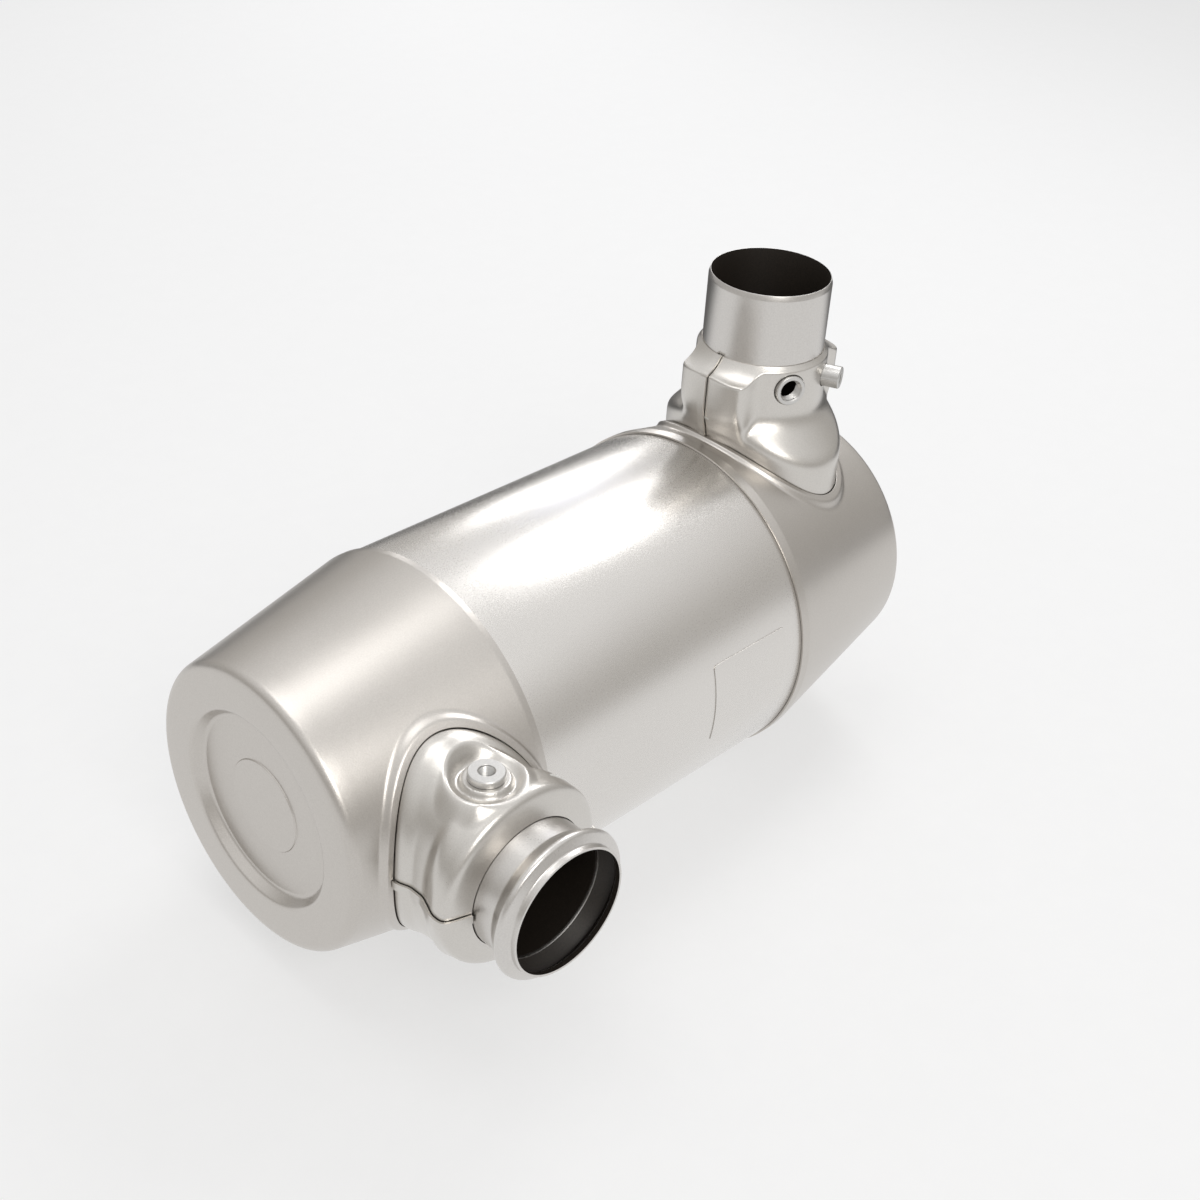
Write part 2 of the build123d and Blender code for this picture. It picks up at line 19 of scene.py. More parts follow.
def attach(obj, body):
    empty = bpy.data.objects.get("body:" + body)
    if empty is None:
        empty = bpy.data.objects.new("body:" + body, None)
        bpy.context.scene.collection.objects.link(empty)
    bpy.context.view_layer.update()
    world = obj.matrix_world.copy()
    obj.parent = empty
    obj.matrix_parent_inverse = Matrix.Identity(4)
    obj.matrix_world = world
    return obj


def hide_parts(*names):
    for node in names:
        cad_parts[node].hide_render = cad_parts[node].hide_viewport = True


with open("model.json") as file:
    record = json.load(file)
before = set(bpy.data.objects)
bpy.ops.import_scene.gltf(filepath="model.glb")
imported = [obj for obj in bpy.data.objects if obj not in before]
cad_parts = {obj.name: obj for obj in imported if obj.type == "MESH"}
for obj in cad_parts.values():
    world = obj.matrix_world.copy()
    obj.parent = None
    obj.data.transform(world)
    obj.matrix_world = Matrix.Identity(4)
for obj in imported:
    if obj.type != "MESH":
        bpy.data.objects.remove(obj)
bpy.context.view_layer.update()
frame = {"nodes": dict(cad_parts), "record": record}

# %% [markdown]
# Lengths below are in millimetres, as on the drawing of the part, and become metres once, when a mesh is
# made. These are the sizes that the visible pieces share with the solids.

# %% Shared sizes
CAN_RADIUS, CAN_GAUGE, CAN_HALF, BARE_HALF = 160.0, 1.5, 167.0, 162.0
CUP_GAUGE, LIP_RADIUS = 1.8, 162.0
NECK_GAUGE = 1.8
TUBE_RADIUS, TUBE_GAUGE = 57.15, 2.0
SLIP = 0.3
DARK_GAP = 0.8
INLET_X, OUTLET_X = 257.4, -230.2
# Each cup: where its lip ends, where its cap is, and the radius of the cap.
INLET_CUP = (172.0, 358.0, 126.9)
OUTLET_CUP = (168.0, 338.0, 128.4)
# The oval foot of each neck: half its width, half its length, and its shift across.
INLET_OVAL = (67.0, 94.0, -1.0)
OUTLET_OVAL = (69.5, 98.5, -7.5)
COLLAR_HEIGHT = 4.0
NECK_MOUTH = 57.9


def cone_radius(x, cup):
    """Radius of a cup's skin at a distance along the can."""
    lip_end, cap_x, cap_radius = cup
    x = np.abs(x)
    slope = (cap_radius - LIP_RADIUS) / (cap_x - lip_end)
    return np.where(x < lip_end, LIP_RADIUS, LIP_RADIUS + slope * (x - lip_end))


for axis_x, cup in ((INLET_X, INLET_CUP), (OUTLET_X, OUTLET_CUP)):
    print("neck at", axis_x, "on a cone of radius", round(float(cone_radius(axis_x, cup)), 1))


# %% [markdown]
# A stamped edge is never sharp: sheet bends round a radius. Two small helpers give that. One rounds the
# corners of a drawn outline, and one moves an outline sideways by the sheet's gauge, as an offset line on
# a drawing.

# %% Outlines with bends
LEAST_RADIUS, MOST_OF_A_RUN = 0.05, 0.49


def moved(points, corners, grow):
    """An outline moved to its right-hand side by a growth, with its corner radii to match."""
    p = np.array(points, float)
    runs = np.diff(p, axis=0)
    runs /= np.linalg.norm(runs, axis=1)[:, None]
    normals = np.stack([runs[:, 1], -runs[:, 0]], axis=1)
    out, radii = [p[0] + normals[0] * grow], []
    for i, radius in enumerate(corners, start=1):
        before, after = normals[i - 1], normals[i]
        out.append(p[i] + (before + after) * (grow / (1 + before @ after)))
        turn = runs[i - 1][0] * runs[i][1] - runs[i - 1][1] * runs[i][0]
        radii.append(max(LEAST_RADIUS, radius + grow if turn > 0 else radius - grow))
    out.append(p[-1] + normals[-1] * grow)
    return np.array(out), radii


def rounded(points, corners, steps=6):
    """An outline whose inner corners are arcs of the given radii."""
    p = np.array(points, float)
    out = [p[0]]
    for i, radius in enumerate(corners, start=1):
        a, b = p[i - 1] - p[i], p[i + 1] - p[i]
        la, lb = np.linalg.norm(a), np.linalg.norm(b)
        a, b = a / la, b / lb
        half = math.acos(max(-1.0, min(1.0, float(a @ b)))) / 2
        cut = min(radius / math.tan(half), MOST_OF_A_RUN * la, MOST_OF_A_RUN * lb)
        bend = cut * math.tan(half)
        middle = (a + b) / np.linalg.norm(a + b)
        centre = p[i] + middle * bend / math.sin(half)
        start, end = p[i] + a * cut - centre, p[i] + b * cut - centre
        sweep = math.atan2(start[0] * end[1] - start[1] * end[0], float(start @ end))
        for t in np.linspace(0, sweep, steps + 1):
            c, s = math.cos(t), math.sin(t)
            out.append(centre + np.array([start[0] * c - start[1] * s, start[0] * s + start[1] * c]))
    out.append(p[-1])
    return np.array(out)


def divided(line, longest):
    """The same line with points added so that no run is longer than a limit."""
    out = [line[0]]
    for a, b in zip(line, line[1:]):
        n = max(1, int(math.ceil(np.linalg.norm(b - a) / longest)))
        out.extend(a + (b - a) * k / n for k in range(1, n + 1))
    return np.array(out)


# %% [markdown]
# Every visible piece ends as one plain mesh at the origin, with smooth faces and crisp edges only where
# the sheet was cut. One helper makes a mesh from a grid of points, and one hands the finished piece to
# the frame.

# %% From points to pieces
SAME_PLACE, NO_LENGTH = 1e-6, 1e-7
SHARP_ANGLE = math.radians(28)


def grid_mesh(name, points, close_rows=False, close_columns=False):
    """A mesh from a grid of points, rows by columns, that may be closed on itself either way."""
    points = np.asarray(points, float)
    rows, columns = points.shape[:2]
    faces = []
    for r in range(rows if close_rows else rows - 1):
        for c in range(columns if close_columns else columns - 1):
            r2, c2 = (r + 1) % rows, (c + 1) % columns
            faces.append((r * columns + c, r * columns + c2, r2 * columns + c2, r2 * columns + c))
    mesh = bpy.data.meshes.new(name)
    mesh.from_pydata((points.reshape(-1, 3) / 1000).tolist(), [], faces)
    return mesh


def place(name, mesh):
    """An object of that mesh, in the scene."""
    piece = bpy.data.objects.new(name, mesh)
    bpy.context.scene.collection.objects.link(piece)
    return piece


def merged(mesh):
    """Joins points that lie on each other and turns the faces outwards."""
    work = bmesh.new()
    work.from_mesh(mesh)
    bmesh.ops.remove_doubles(work, verts=work.verts, dist=SAME_PLACE)
    bmesh.ops.dissolve_degenerate(work, dist=NO_LENGTH, edges=work.edges)
    bmesh.ops.recalc_face_normals(work, faces=work.faces)
    work.to_mesh(mesh)
    work.free()
    return mesh


def joined(mesh, other):
    """Adds another mesh to a mesh."""
    both = bmesh.new()
    both.from_mesh(mesh)
    both.from_mesh(other)
    both.to_mesh(mesh)
    both.free()
    bpy.data.meshes.remove(other)
    return mesh


def baked(piece):
    """Applies a piece's modifiers to its mesh."""
    bpy.context.view_layer.update()
    finished = piece.evaluated_get(bpy.context.evaluated_depsgraph_get())
    result = bpy.data.meshes.new_from_object(finished)
    piece.modifiers.clear()
    old = piece.data
    piece.data = result
    bpy.data.meshes.remove(old)
    return piece


def cut(piece, tool_mesh, operation="DIFFERENCE"):
    """Cuts a piece with a closed tool mesh."""
    tool = place("cutting_tool", tool_mesh)
    boolean = piece.modifiers.new("cut", "BOOLEAN")
    boolean.operation, boolean.solver, boolean.object = operation, "EXACT", tool
    baked(piece)
    bpy.data.objects.remove(tool)
    bpy.data.meshes.remove(tool_mesh)
    return piece


def hand_over(piece, node, finish):
    """Shades a finished piece, gives it its finish and lets it stand for its CAD node."""
    for face in piece.data.polygons:
        face.use_smooth = True
    piece.data.set_sharp_from_angle(angle=SHARP_ANGLE)
    piece.data.materials.clear()
    piece.data.materials.append(finish)
    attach(piece, "root")
    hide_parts(node)
    print(piece.name, len(piece.data.polygons), "faces")


# %% [markdown]
# Node trees appear twice here: as Geometry Nodes for shapes and as shader nodes for finishes. Maths in a
# tree is written as plain Python: a small class wraps a socket, and each operator adds its Math node.

# %% Node maths as expressions
class Wire:
    """An output socket that can be used in an expression."""

    def __init__(self, owner, socket):
        self.owner, self.socket = owner, socket

    def maths(self, operation, other=0.0):
        """A Math node of this wire and another wire or number."""
        return self.owner.node("ShaderNodeMath", {"operation": operation}, {0: self, 1: other})

    def __add__(self, other):
        return self.maths("ADD", other)

    __radd__ = __add__

    def __sub__(self, other):
        return self.maths("SUBTRACT", other)

    def __rsub__(self, other):
        return self.owner.node("ShaderNodeMath", {"operation": "SUBTRACT"}, {0: other, 1: self})

    def __mul__(self, other):
        return self.maths("MULTIPLY", other)

    __rmul__ = __mul__

    def __truediv__(self, other):
        return self.maths("DIVIDE", other)

    def part(self, index):
        """One component of a vector."""
        return self.owner.node("ShaderNodeSeparateXYZ", {}, {0: self}, index)

    def above(self, limit, width):
        """0 below the limit, 1 above it, smooth across a width."""
        ends = {0: self, 1: limit - width / 2, 2: limit + width / 2, 3: 0.0, 4: 1.0}
        return self.owner.node("ShaderNodeMapRange", {"interpolation_type": "SMOOTHSTEP"}, ends)


class NodeTree:
    """A tree to which nodes are added one by one."""

    def __init__(self, tree):
        self.tree = tree

    def feed(self, socket, value):
        """Links a wire to an input socket, or sets the socket's value."""
        if isinstance(value, Wire):
            self.tree.links.new(value.socket, socket)
        else:
            socket.default_value = value

    def node(self, kind, settings=None, inputs=None, output=0):
        """Adds a node with its settings and inputs, and gives one of its outputs."""
        made = self.tree.nodes.new(kind)
        for key, value in (settings or {}).items():
            setattr(made, key, value)
        for key, value in (inputs or {}).items():
            self.feed(made.inputs[key], value)
        return Wire(self, made.outputs[output])


# %% [markdown]
# A shape tree is a Geometry Nodes group with named inputs. It ends in Realize Instances and Set Material.
# When it has been set up on a piece, the result is baked to a plain mesh and the modifier goes.

# %% Shapes from Geometry Nodes
class ShapeTree(NodeTree):
    """A Geometry Nodes group with named inputs."""

    def __init__(self, name, **sizes):
        super().__init__(bpy.data.node_groups.new(name, "GeometryNodeTree"))
        face = self.tree.interface
        kinds = {int: "NodeSocketInt", float: "NodeSocketFloat"}
        self.sockets = {}
        face.new_socket(name="Shape", in_out="INPUT", socket_type="NodeSocketGeometry")
        for key, value in sizes.items():
            socket = face.new_socket(name=key, in_out="INPUT", socket_type=kinds[type(value)])
            socket.default_value = value
            self.sockets[key] = socket
        finish = face.new_socket(name="Finish", in_out="INPUT", socket_type="NodeSocketMaterial")
        self.sockets["Finish"] = finish
        face.new_socket(name="Shape", in_out="OUTPUT", socket_type="NodeSocketGeometry")
        self.entry = self.tree.nodes.new("NodeGroupInput")

    def given(self, name):
        """The wire of a named input."""
        return Wire(self, self.entry.outputs[name])

    def close(self, shape):
        """Ends the tree."""
        real = self.node("GeometryNodeRealizeInstances", {}, {0: shape})
        inputs = {"Geometry": real, "Material": self.given("Finish")}
        finished = self.node("GeometryNodeSetMaterial", {}, inputs)
        exit_node = self.tree.nodes.new("NodeGroupOutput")
        self.feed(exit_node.inputs[0], finished)
        return self

    def mesh(self, source, **values):
        """A plain mesh that the tree makes from a source mesh and the values of its inputs."""
        piece = place("blank", source)
        modifier = piece.modifiers.new("shape", "NODES")
        modifier.node_group = self.tree
        for key, value in values.items():
            modifier[self.sockets[key].identifier] = value
        baked(piece)
        result = piece.data
        bpy.data.objects.remove(piece)
        return result


# %% [markdown]
# The can, the cups, the tubes and the bosses are bodies of revolution. On the real object they are
# rolled, spun or drawn; here a lathe tree does it. It lays a grid with one row for each point of the
# outline and one column for each step round the axis, looks each outline point up by its row, and swings
# it to its column's angle.

# %% The lathe tree
def lathe_tree():
    """A group that turns an outline round the X axis."""
    lathe = ShapeTree("lathe", Steps=256)
    outline = lathe.given("Shape")
    count = lathe.node("GeometryNodeAttributeDomainSize", {"component": "MESH"}, {0: outline})
    steps = lathe.given("Steps")
    inputs = {"Size X": 1.0, "Size Y": 1.0, "Vertices X": count, "Vertices Y": steps + 1}
    grid = lathe.node("GeometryNodeMeshGrid", {}, inputs)
    here = lathe.node("GeometryNodeInputPosition")
    row = ((here.part(0) + 0.5) * (count - 1)).maths("ROUND")
    swing = (here.part(1) + 0.5) * (2 * math.pi)
    inputs = {"Geometry": outline, "Value": lathe.node("GeometryNodeInputPosition"), "Index": row}
    settings = {"data_type": "FLOAT_VECTOR", "domain": "POINT"}
    point = lathe.node("GeometryNodeSampleIndex", settings, inputs)
    radius = point.part(2)
    turned_point = lathe.node("ShaderNodeCombineXYZ", {}, {
        0: point.part(0), 1: radius * swing.maths("COSINE"), 2: radius * swing.maths("SINE"),
    })
    shape = lathe.node("GeometryNodeSetPosition", {}, {"Geometry": grid, "Position": turned_point})
    return lathe.close(shape)


LATHE = lathe_tree()
ALONG_X = 0.9


def axes_of(direction):
    """An axis and two directions across it."""
    d = Vector(direction).normalized()
    side = Vector((1, 0, 0)) if abs(d.x) < ALONG_X else Vector((0, 1, 0))
    across = (side - d * side.dot(d)).normalized()
    return np.array(d), np.array(across), np.array(d.cross(across))


def turned(name, outline, origin, direction, finish, steps=256):
    """A mesh turned from a closed outline of (along, radius) points about an axis."""
    outline = np.asarray(outline, float)
    closed = np.concatenate([outline, outline[:1]]) / 1000
    blank = bpy.data.meshes.new(name)
    blank.from_pydata([(a, 0, r) for a, r in closed], [(i, i + 1) for i in range(len(outline))], [])
    mesh = LATHE.mesh(blank, Steps=steps, Finish=finish)
    d, u, v = axes_of(direction)
    stand = Matrix((d, u, v)).transposed().to_4x4()
    stand.translation = Vector(origin) / 1000
    mesh.transform(stand)
    return merged(mesh)


def column(name, curve, origin, direction, start, end):
    """A closed straight column from a flat curve of (across, along) points, for cutting."""
    d, u, v = axes_of(direction)
    work = bmesh.new()
    rims = []
    for height in (start, end):
        middle = np.array(origin) + d * height
        rims.append([work.verts.new((middle + u * a + v * b) / 1000) for a, b in curve])
    work.faces.new(rims[0])
    work.faces.new(rims[1])
    for i in range(len(curve)):
        j = (i + 1) % len(curve)
        work.faces.new((rims[0][i], rims[0][j], rims[1][j], rims[1][i]))
    bmesh.ops.recalc_face_normals(work, faces=work.faces)
    mesh = bpy.data.meshes.new(name)
    work.to_mesh(mesh)
    work.free()
    return mesh


def round_column(name, radius, origin, direction, start, end, steps=96):
    """A round column for cutting a hole."""
    angles = np.linspace(0, 2 * math.pi, steps, endpoint=False)
    curve = np.stack([radius * np.cos(angles), radius * np.sin(angles)], axis=1)
    return column(name, curve, origin, direction, start, end)


# %% [markdown]
# ## The finishes
#
# All the sheet is one alloy, but its surface differs: the rolled can is smoother and takes broad soft
# highlights, the drawn and stamped pieces are fine-grained and matte, and the tubes' bores are painted
# near black as painted shade. A finish is a node tree too, so it builds on the same class, and adds what
# only materials need.

# %% A material in the making
class Finish(NodeTree):
    """A procedural material."""

    def __init__(self, name):
        self.material = bpy.data.materials.new(name)
        self.material.use_nodes = True
        super().__init__(self.material.node_tree)
        self.shader = self.tree.nodes["Principled BSDF"]
        self.place = self.node("ShaderNodeTexCoord", output="Object")

    def noise(self, scale, detail=2.0, stretch=(1, 1, 1), roughness=0.5):
        """Noise of a given number of grains to the metre, from 0 to 1."""
        where = self.node("ShaderNodeMapping", {}, {"Vector": self.place, "Scale": stretch})
        inputs = {"Vector": where, "Scale": scale, "Detail": detail, "Roughness": roughness}
        return self.node("ShaderNodeTexNoise", {}, inputs)

    def mix(self, factor, a, b):
        """A colour between two others."""
        return self.node("ShaderNodeMix", {"data_type": "RGBA"}, {0: factor, 6: a, 7: b}, 2)

    def tint(self, value, dark, light):
        """A colour between two, by a value from 0 to 1."""
        return self.mix(value, (*dark, 1), (*light, 1))

    def bump(self, height, depth):
        """A bumped normal; depth in millimetres for a height of 0 to 1."""
        inputs = {"Strength": 1.0, "Distance": depth / 1000, "Height": height}
        return self.node("ShaderNodeBump", {}, inputs)

    def set(self, **sockets):
        """Sets or links the shader's own sockets."""
        names = {
            "color": "Base Color", "roughness": "Roughness", "metallic": "Metallic", "normal": "Normal",
        }
        for key, value in sockets.items():
            self.feed(self.shader.inputs[names[key]], value)


# %% [markdown]
# Pickled stainless sheet looks pale and grainy: tiny facets of the rolled grain sparkle near a highlight.
# Fine noise drives colour, roughness and a very shallow bump; broad noise adds the faint cloudiness of
# handled steel.

# %% Stainless steel in its grades
def steel(name, dark, light, rough, grain, grain_depth):
    """Stainless sheet with faint broad clouds and a fine grain.

    grain: grains to the metre; grain_depth: their depth in millimetres.
    """
    finish = Finish(name)
    fine = finish.noise(grain, 3.0)
    broad = finish.noise(9, 3.0)
    shade = fine * 0.75 + broad * 0.2 - 0.1
    roughness = rough - 0.05 + fine * 0.1 + (broad - 0.5) * 0.08
    finish.set(
        color=finish.tint(shade, dark, light),
        roughness=roughness,
        metallic=1.0,
        normal=finish.bump(fine, grain_depth),
    )
    return finish


can_steel = steel("can_steel", (0.60, 0.58, 0.555), (0.80, 0.775, 0.745), 0.28, 950, 0.06).material
cup_steel = steel("cup_steel", (0.47, 0.445, 0.415), (0.66, 0.63, 0.595), 0.33, 850, 0.07).material
neck_steel = steel("neck_steel", (0.52, 0.50, 0.47), (0.72, 0.695, 0.66), 0.31, 850, 0.06).material
boss_steel = steel("boss_steel", (0.50, 0.49, 0.475), (0.70, 0.69, 0.67), 0.36, 900, 0.08).material
plate_steel = steel("plate_steel", (0.60, 0.58, 0.555), (0.80, 0.775, 0.745), 0.28, 950, 0.06).material
inner_steel = steel("inner_steel", (0.10, 0.085, 0.07), (0.26, 0.22, 0.18), 0.5, 500, 0.05).material
print("steel finishes:", [m.name for m in bpy.data.materials if m.name.endswith("_steel")])


# %% [markdown]
# A tube is the same steel outside, but its bore is painted near black: painted shade, standing in for the
# shade inside the tube. A surface whose normal points toward the tube's own axis is part of the bore; that
# also takes in the hollow of the bead.

# %% Tubes with a bore in painted shade
RING_FADE = 0.4


def tube_finish(name, axis_x, along_z, painted_highlight_rings=()):
    """Steel outside, painted shade inside, told apart by the way the surface faces.

    The rings: (distance, half width) in millimetres of painted highlights, where the bore's corners are
    painted bright steel.
    """
    finish = steel(name, (0.53, 0.51, 0.49), (0.73, 0.71, 0.68), 0.30, 700, 0.06)
    links = finish.shader.inputs
    steel_color = Wire(finish, links["Base Color"].links[0].from_socket)
    steel_rough = Wire(finish, links["Roughness"].links[0].from_socket)

    def vector(operation, inputs, output="Vector"):
        return finish.node("ShaderNodeVectorMath", {"operation": operation}, inputs, output)

    away = vector("SUBTRACT", {0: finish.place, 1: (axis_x / 1000, 0, 0)})
    across = vector("MULTIPLY", {0: away, 1: (1, 1, 0) if along_z else (1, 0, 1)})
    radial = vector("NORMALIZE", {0: across})
    facing = finish.node("ShaderNodeNewGeometry", output="Normal")
    outward = vector("DOT_PRODUCT", {0: facing, 1: radial}, "Value")
    wall = outward.above(-0.35, 0.3)
    height = finish.place.part(2) if along_z else 0 - finish.place.part(1)
    # Painted highlights: rings at the bore's corners are painted back to bright steel.
    for distance, half_width in painted_highlight_rings:
        from_ring = (height - distance / 1000).maths("ABSOLUTE")
        wall = wall.maths("MAXIMUM", 1 - from_ring.above(half_width / 1000, RING_FADE / 1000))
    # Painted shade: the bore is painted near black, speckled a little, where the inside of the tube lies in
    # shade.
    specks = finish.noise(700, 2.0)
    painted_bore_shade = finish.tint(specks, (0.010, 0.008, 0.006), (0.035, 0.026, 0.019))
    finish.set(
        color=finish.mix(wall, painted_bore_shade, steel_color),
        roughness=(1 - wall) * 0.5 + steel_rough * wall,
        metallic=wall * 0.8 + 0.2,
    )
    return finish.material


inlet_tube_steel = tube_finish("inlet_tube_steel", INLET_X, True)
# Painted highlights at the two corners of the bead's hollow inside the outlet bore.
PAINTED_HIGHLIGHT_RINGS = [(228.2, 1.1), (248.7, 0.5)]
outlet_tube_steel = tube_finish("outlet_tube_steel", OUTLET_X, False, PAINTED_HIGHLIGHT_RINGS)
print("bright rings in the outlet bore at", [distance for distance, _ in PAINTED_HIGHLIGHT_RINGS], "mm")


# %% [markdown]
# Inside, hardly seen, are the bricks, the mats and the insulation. A brick's faces are a honeycomb of
# square cells, drawn with two crossed waves: pale walls round cells painted near black, painted shade for
# their deep channels; mats and blankets are felted fibre.

# %% Ceramic and fibre
HALF_CELL = 0.65 / 1000


def ceramic_honeycomb():
    """Washcoated honeycomb: square cells 1.3 mm apart on both end faces, the cells painted dark as painted
    shade.
    """
    finish = Finish("brick_ceramic")
    across, up = [finish.place.part(k).maths("PINGPONG", HALF_CELL) / HALF_CELL for k in (1, 2)]
    wall = across.maths("MAXIMUM", up).above(0.82, 0.2)
    cloud = finish.noise(60, 3.0)
    pale = finish.tint(cloud, (0.42, 0.36, 0.27), (0.55, 0.49, 0.38))
    # Painted shade: the open cells are painted near black for the shade in their channels; the walls keep
    # the ceramic's own pale tone.
    finish.set(
        color=finish.mix(wall, (0.05, 0.04, 0.03, 1), pale),
        roughness=0.85 + cloud * 0.1,
        metallic=0.0,
        normal=finish.bump(wall, 0.4),
    )
    return finish.material


def fibre(name, dark, light, strand):
    """Felted fibre with soft strands lying along the sheet."""
    finish = Finish(name)
    strands = finish.noise(strand, 6.0, (1, 3, 3), 0.7)
    finish.set(
        color=finish.tint(strands, dark, light),
        roughness=0.9 + strands * 0.08,
        metallic=0.0,
        normal=finish.bump(strands, 0.5),
    )
    return finish.material


brick_ceramic = ceramic_honeycomb()
mat_fibre = fibre("mat_fibre", (0.50, 0.46, 0.38), (0.72, 0.69, 0.62), 260)
blanket_fibre = fibre("blanket_fibre", (0.62, 0.61, 0.57), (0.84, 0.83, 0.80), 180)

inner_finishes = {
    "inner_steel": inner_steel,
    "brick_ceramic": brick_ceramic,
    "mat_fibre": mat_fibre,
    "blanket_fibre": blanket_fibre,
}
for entry in frame["record"]["subparts"]:
    if entry["material_slot"] in inner_finishes:
        inner = frame["nodes"][entry["node"]]
        inner.data.materials.clear()
        inner.data.materials.append(inner_finishes[entry["material_slot"]])
        print(entry["node"], "wears", entry["material_slot"])

# %% [markdown]
# ## The can
#
# Between the cups one sees only the rolled can. It is turned from its section, with a tiny break on the
# cut edges.

# %% Can
CAN_AXIS, CAN_STEPS = ((0, 0, 0), (1, 0, 0)), 360
BROKEN_EDGE = 0.3


def sheet_ring(outer, inner, start, end):
    """The section of a plain ring with broken edges, as (along, radius) points."""
    corners = [(start, inner), (start, outer), (end, outer), (end, inner)]
    middle = (start + end) / 2
    line = rounded([(middle, inner), *corners, (middle + 0.01, inner)], [BROKEN_EDGE] * 4, 3)
    return line[:-1]


can_section = sheet_ring(CAN_RADIUS, CAN_RADIUS - CAN_GAUGE, -CAN_HALF, CAN_HALF)
can = place("can", turned("can", can_section, *CAN_AXIS, can_steel, CAN_STEPS))
hand_over(can, "catalyst_shell", can_steel)

# %% [markdown]
# The data plate is a thin bare sheet that follows the can. It is cut from a thin ring with a rounded
# rectangle, which gives true edges and corners.

# %% Data plate
def rounded_rectangle(width, height, radius, steps=8):
    """A closed curve with rounded corners, centred on the origin."""
    out = []
    for cx, cy, start in ((1, 1, 0), (-1, 1, 90), (-1, -1, 180), (1, -1, 270)):
        for k in range(steps + 1):
            angle = math.radians(start + 90 * k / steps)
            out.append((
                cx * (width / 2 - radius) + radius * math.cos(angle),
                cy * (height / 2 - radius) + radius * math.sin(angle),
            ))
    return out


PLATE_INNER, PLATE_OUTER = CAN_RADIUS + 0.1, CAN_RADIUS + 0.7
PLATE_MIDDLE, PLATE_WIDTH, PLATE_HEIGHT, PLATE_CORNER = (91, 0, 8), 80, 96, 4
plate_ring = [(20, PLATE_INNER), (20, PLATE_OUTER), (160, PLATE_OUTER), (160, PLATE_INNER)]
plate_blank = turned("data_plate_sheet", plate_ring, *CAN_AXIS, plate_steel, CAN_STEPS)
plate = place("data_plate_sheet", plate_blank)
plate_curve = [(b, a) for a, b in rounded_rectangle(PLATE_WIDTH, PLATE_HEIGHT, PLATE_CORNER)]
cut(plate, column("plate_cut", plate_curve, PLATE_MIDDLE, (0, -1, 0), 100, 220), "INTERSECT")
hand_over(plate, "data_plate", plate_steel)

# %% [markdown]
# ## The cups
#
# Each cup is drawn from one sheet: a lip that slips over the can, a cone, and a cap with a sunk floor.
# The turned shell is made first. Then an oval hole is cut, and a collar ring fills it again: its section
# bends up out of the cone, stands for a few millimetres and turns down into the hole where the neck goes
# in.

# %% Shell of a cup
CUP_CORNERS = [0.4, 0.4, 5.0, 5.0, 10.0, 12.0]
COIN_RADIUS, COIN_STEP, CAP_DEPTH, FLOOR_RADIUS, CAP_RIM = 41.2, 1.2, 10.4, 82.0, 88.8
LONGEST_RUN = 12


def cup_outline(cup):
    """Closed section of a cup as (along, radius) points, for the end at positive X."""
    lip_end, cap_x, cap_radius = cup
    floor = cap_x - CAP_DEPTH
    coin = floor + COIN_STEP
    skin = [
        (coin, 0.0), (coin, COIN_RADIUS), (floor, COIN_RADIUS + 0.8), (floor, FLOOR_RADIUS),
        (cap_x, CAP_RIM), (cap_x, cap_radius), (lip_end, LIP_RADIUS), (BARE_HALF, LIP_RADIUS),
    ]
    # The skin runs from the middle of the cap outwards, so its inside is on the right.
    inner_points, inner_corners = moved([(x, -r) for x, r in skin], CUP_CORNERS, CUP_GAUGE)
    inner_points = np.array([(x, -r) for x, r in inner_points])
    inner_points[0][1] = 0.0
    outer = divided(rounded(skin, CUP_CORNERS, 8), LONGEST_RUN)
    inner = divided(rounded(inner_points, inner_corners, 8), LONGEST_RUN)
    return np.concatenate([outer, inner[::-1]])


print("points in a cup's section:", len(cup_outline(INLET_CUP)), len(cup_outline(OUTLET_CUP)))


# %% [markdown]
# The collar's section is drawn as growth outwards from the neck's oval against lift above the cone, and
# then swept round the oval. Its outer rim lies exactly in the cone, so the joint can't be seen.

# %% Collar of a cup
PATCH_REACH, COLLAR_ROOT, COLLAR_BAND = 13.0, 9.2, 6.4
COLLAR_CORNERS, OVAL_STEPS, CUP_STEPS = [5.0, 2.4, 0.5, 0.6], 320, 384


def collar_section():
    """Closed section of the collar as (growth, lift) points."""
    outer = [
        (PATCH_REACH, 0), (COLLAR_ROOT, 0), (COLLAR_BAND, COLLAR_HEIGHT), (DARK_GAP, COLLAR_HEIGHT),
        (DARK_GAP, -CUP_GAUGE), (PATCH_REACH, -CUP_GAUGE),
    ]
    return divided(rounded(outer, COLLAR_CORNERS, 8), 1.2)


def grown_oval(size, grow, limit):
    """An oval moved outwards, less where its patch would pass a limit across."""
    t = np.linspace(0, 2 * math.pi, OVAL_STEPS, endpoint=False)
    half_width, half_length, shift = size
    room = (limit - shift) / np.maximum(np.cos(t), 0.01) - half_width
    grow = grow * np.clip(room / PATCH_REACH, 0, 1)
    return np.stack([shift + (half_width + grow) * np.cos(t), (half_length + grow) * np.sin(t)], axis=1)


def on_cup(across, along, lift, cup, side, neck_x):
    """Place on a cup of points given across and along a neck's foot, raised by a lift."""
    x = neck_x + across
    height = np.sqrt((cone_radius(x, cup) + lift) ** 2 - along**2)
    if side == "inlet":
        return np.stack([x, along, height], axis=-1)
    return np.stack([x, -height, along], axis=-1)


def collar_mesh(name, size, limit, cup, side, neck_x):
    """The collar's section swept round the neck's foot, as a closed ring."""
    rings = []
    for grow, lift in collar_section():
        flat = grown_oval(size, grow, limit)
        rings.append(on_cup(flat[:, 0], flat[:, 1], lift, cup, side, neck_x))
    return merged(grid_mesh(name, np.array(rings), close_rows=True, close_columns=True))


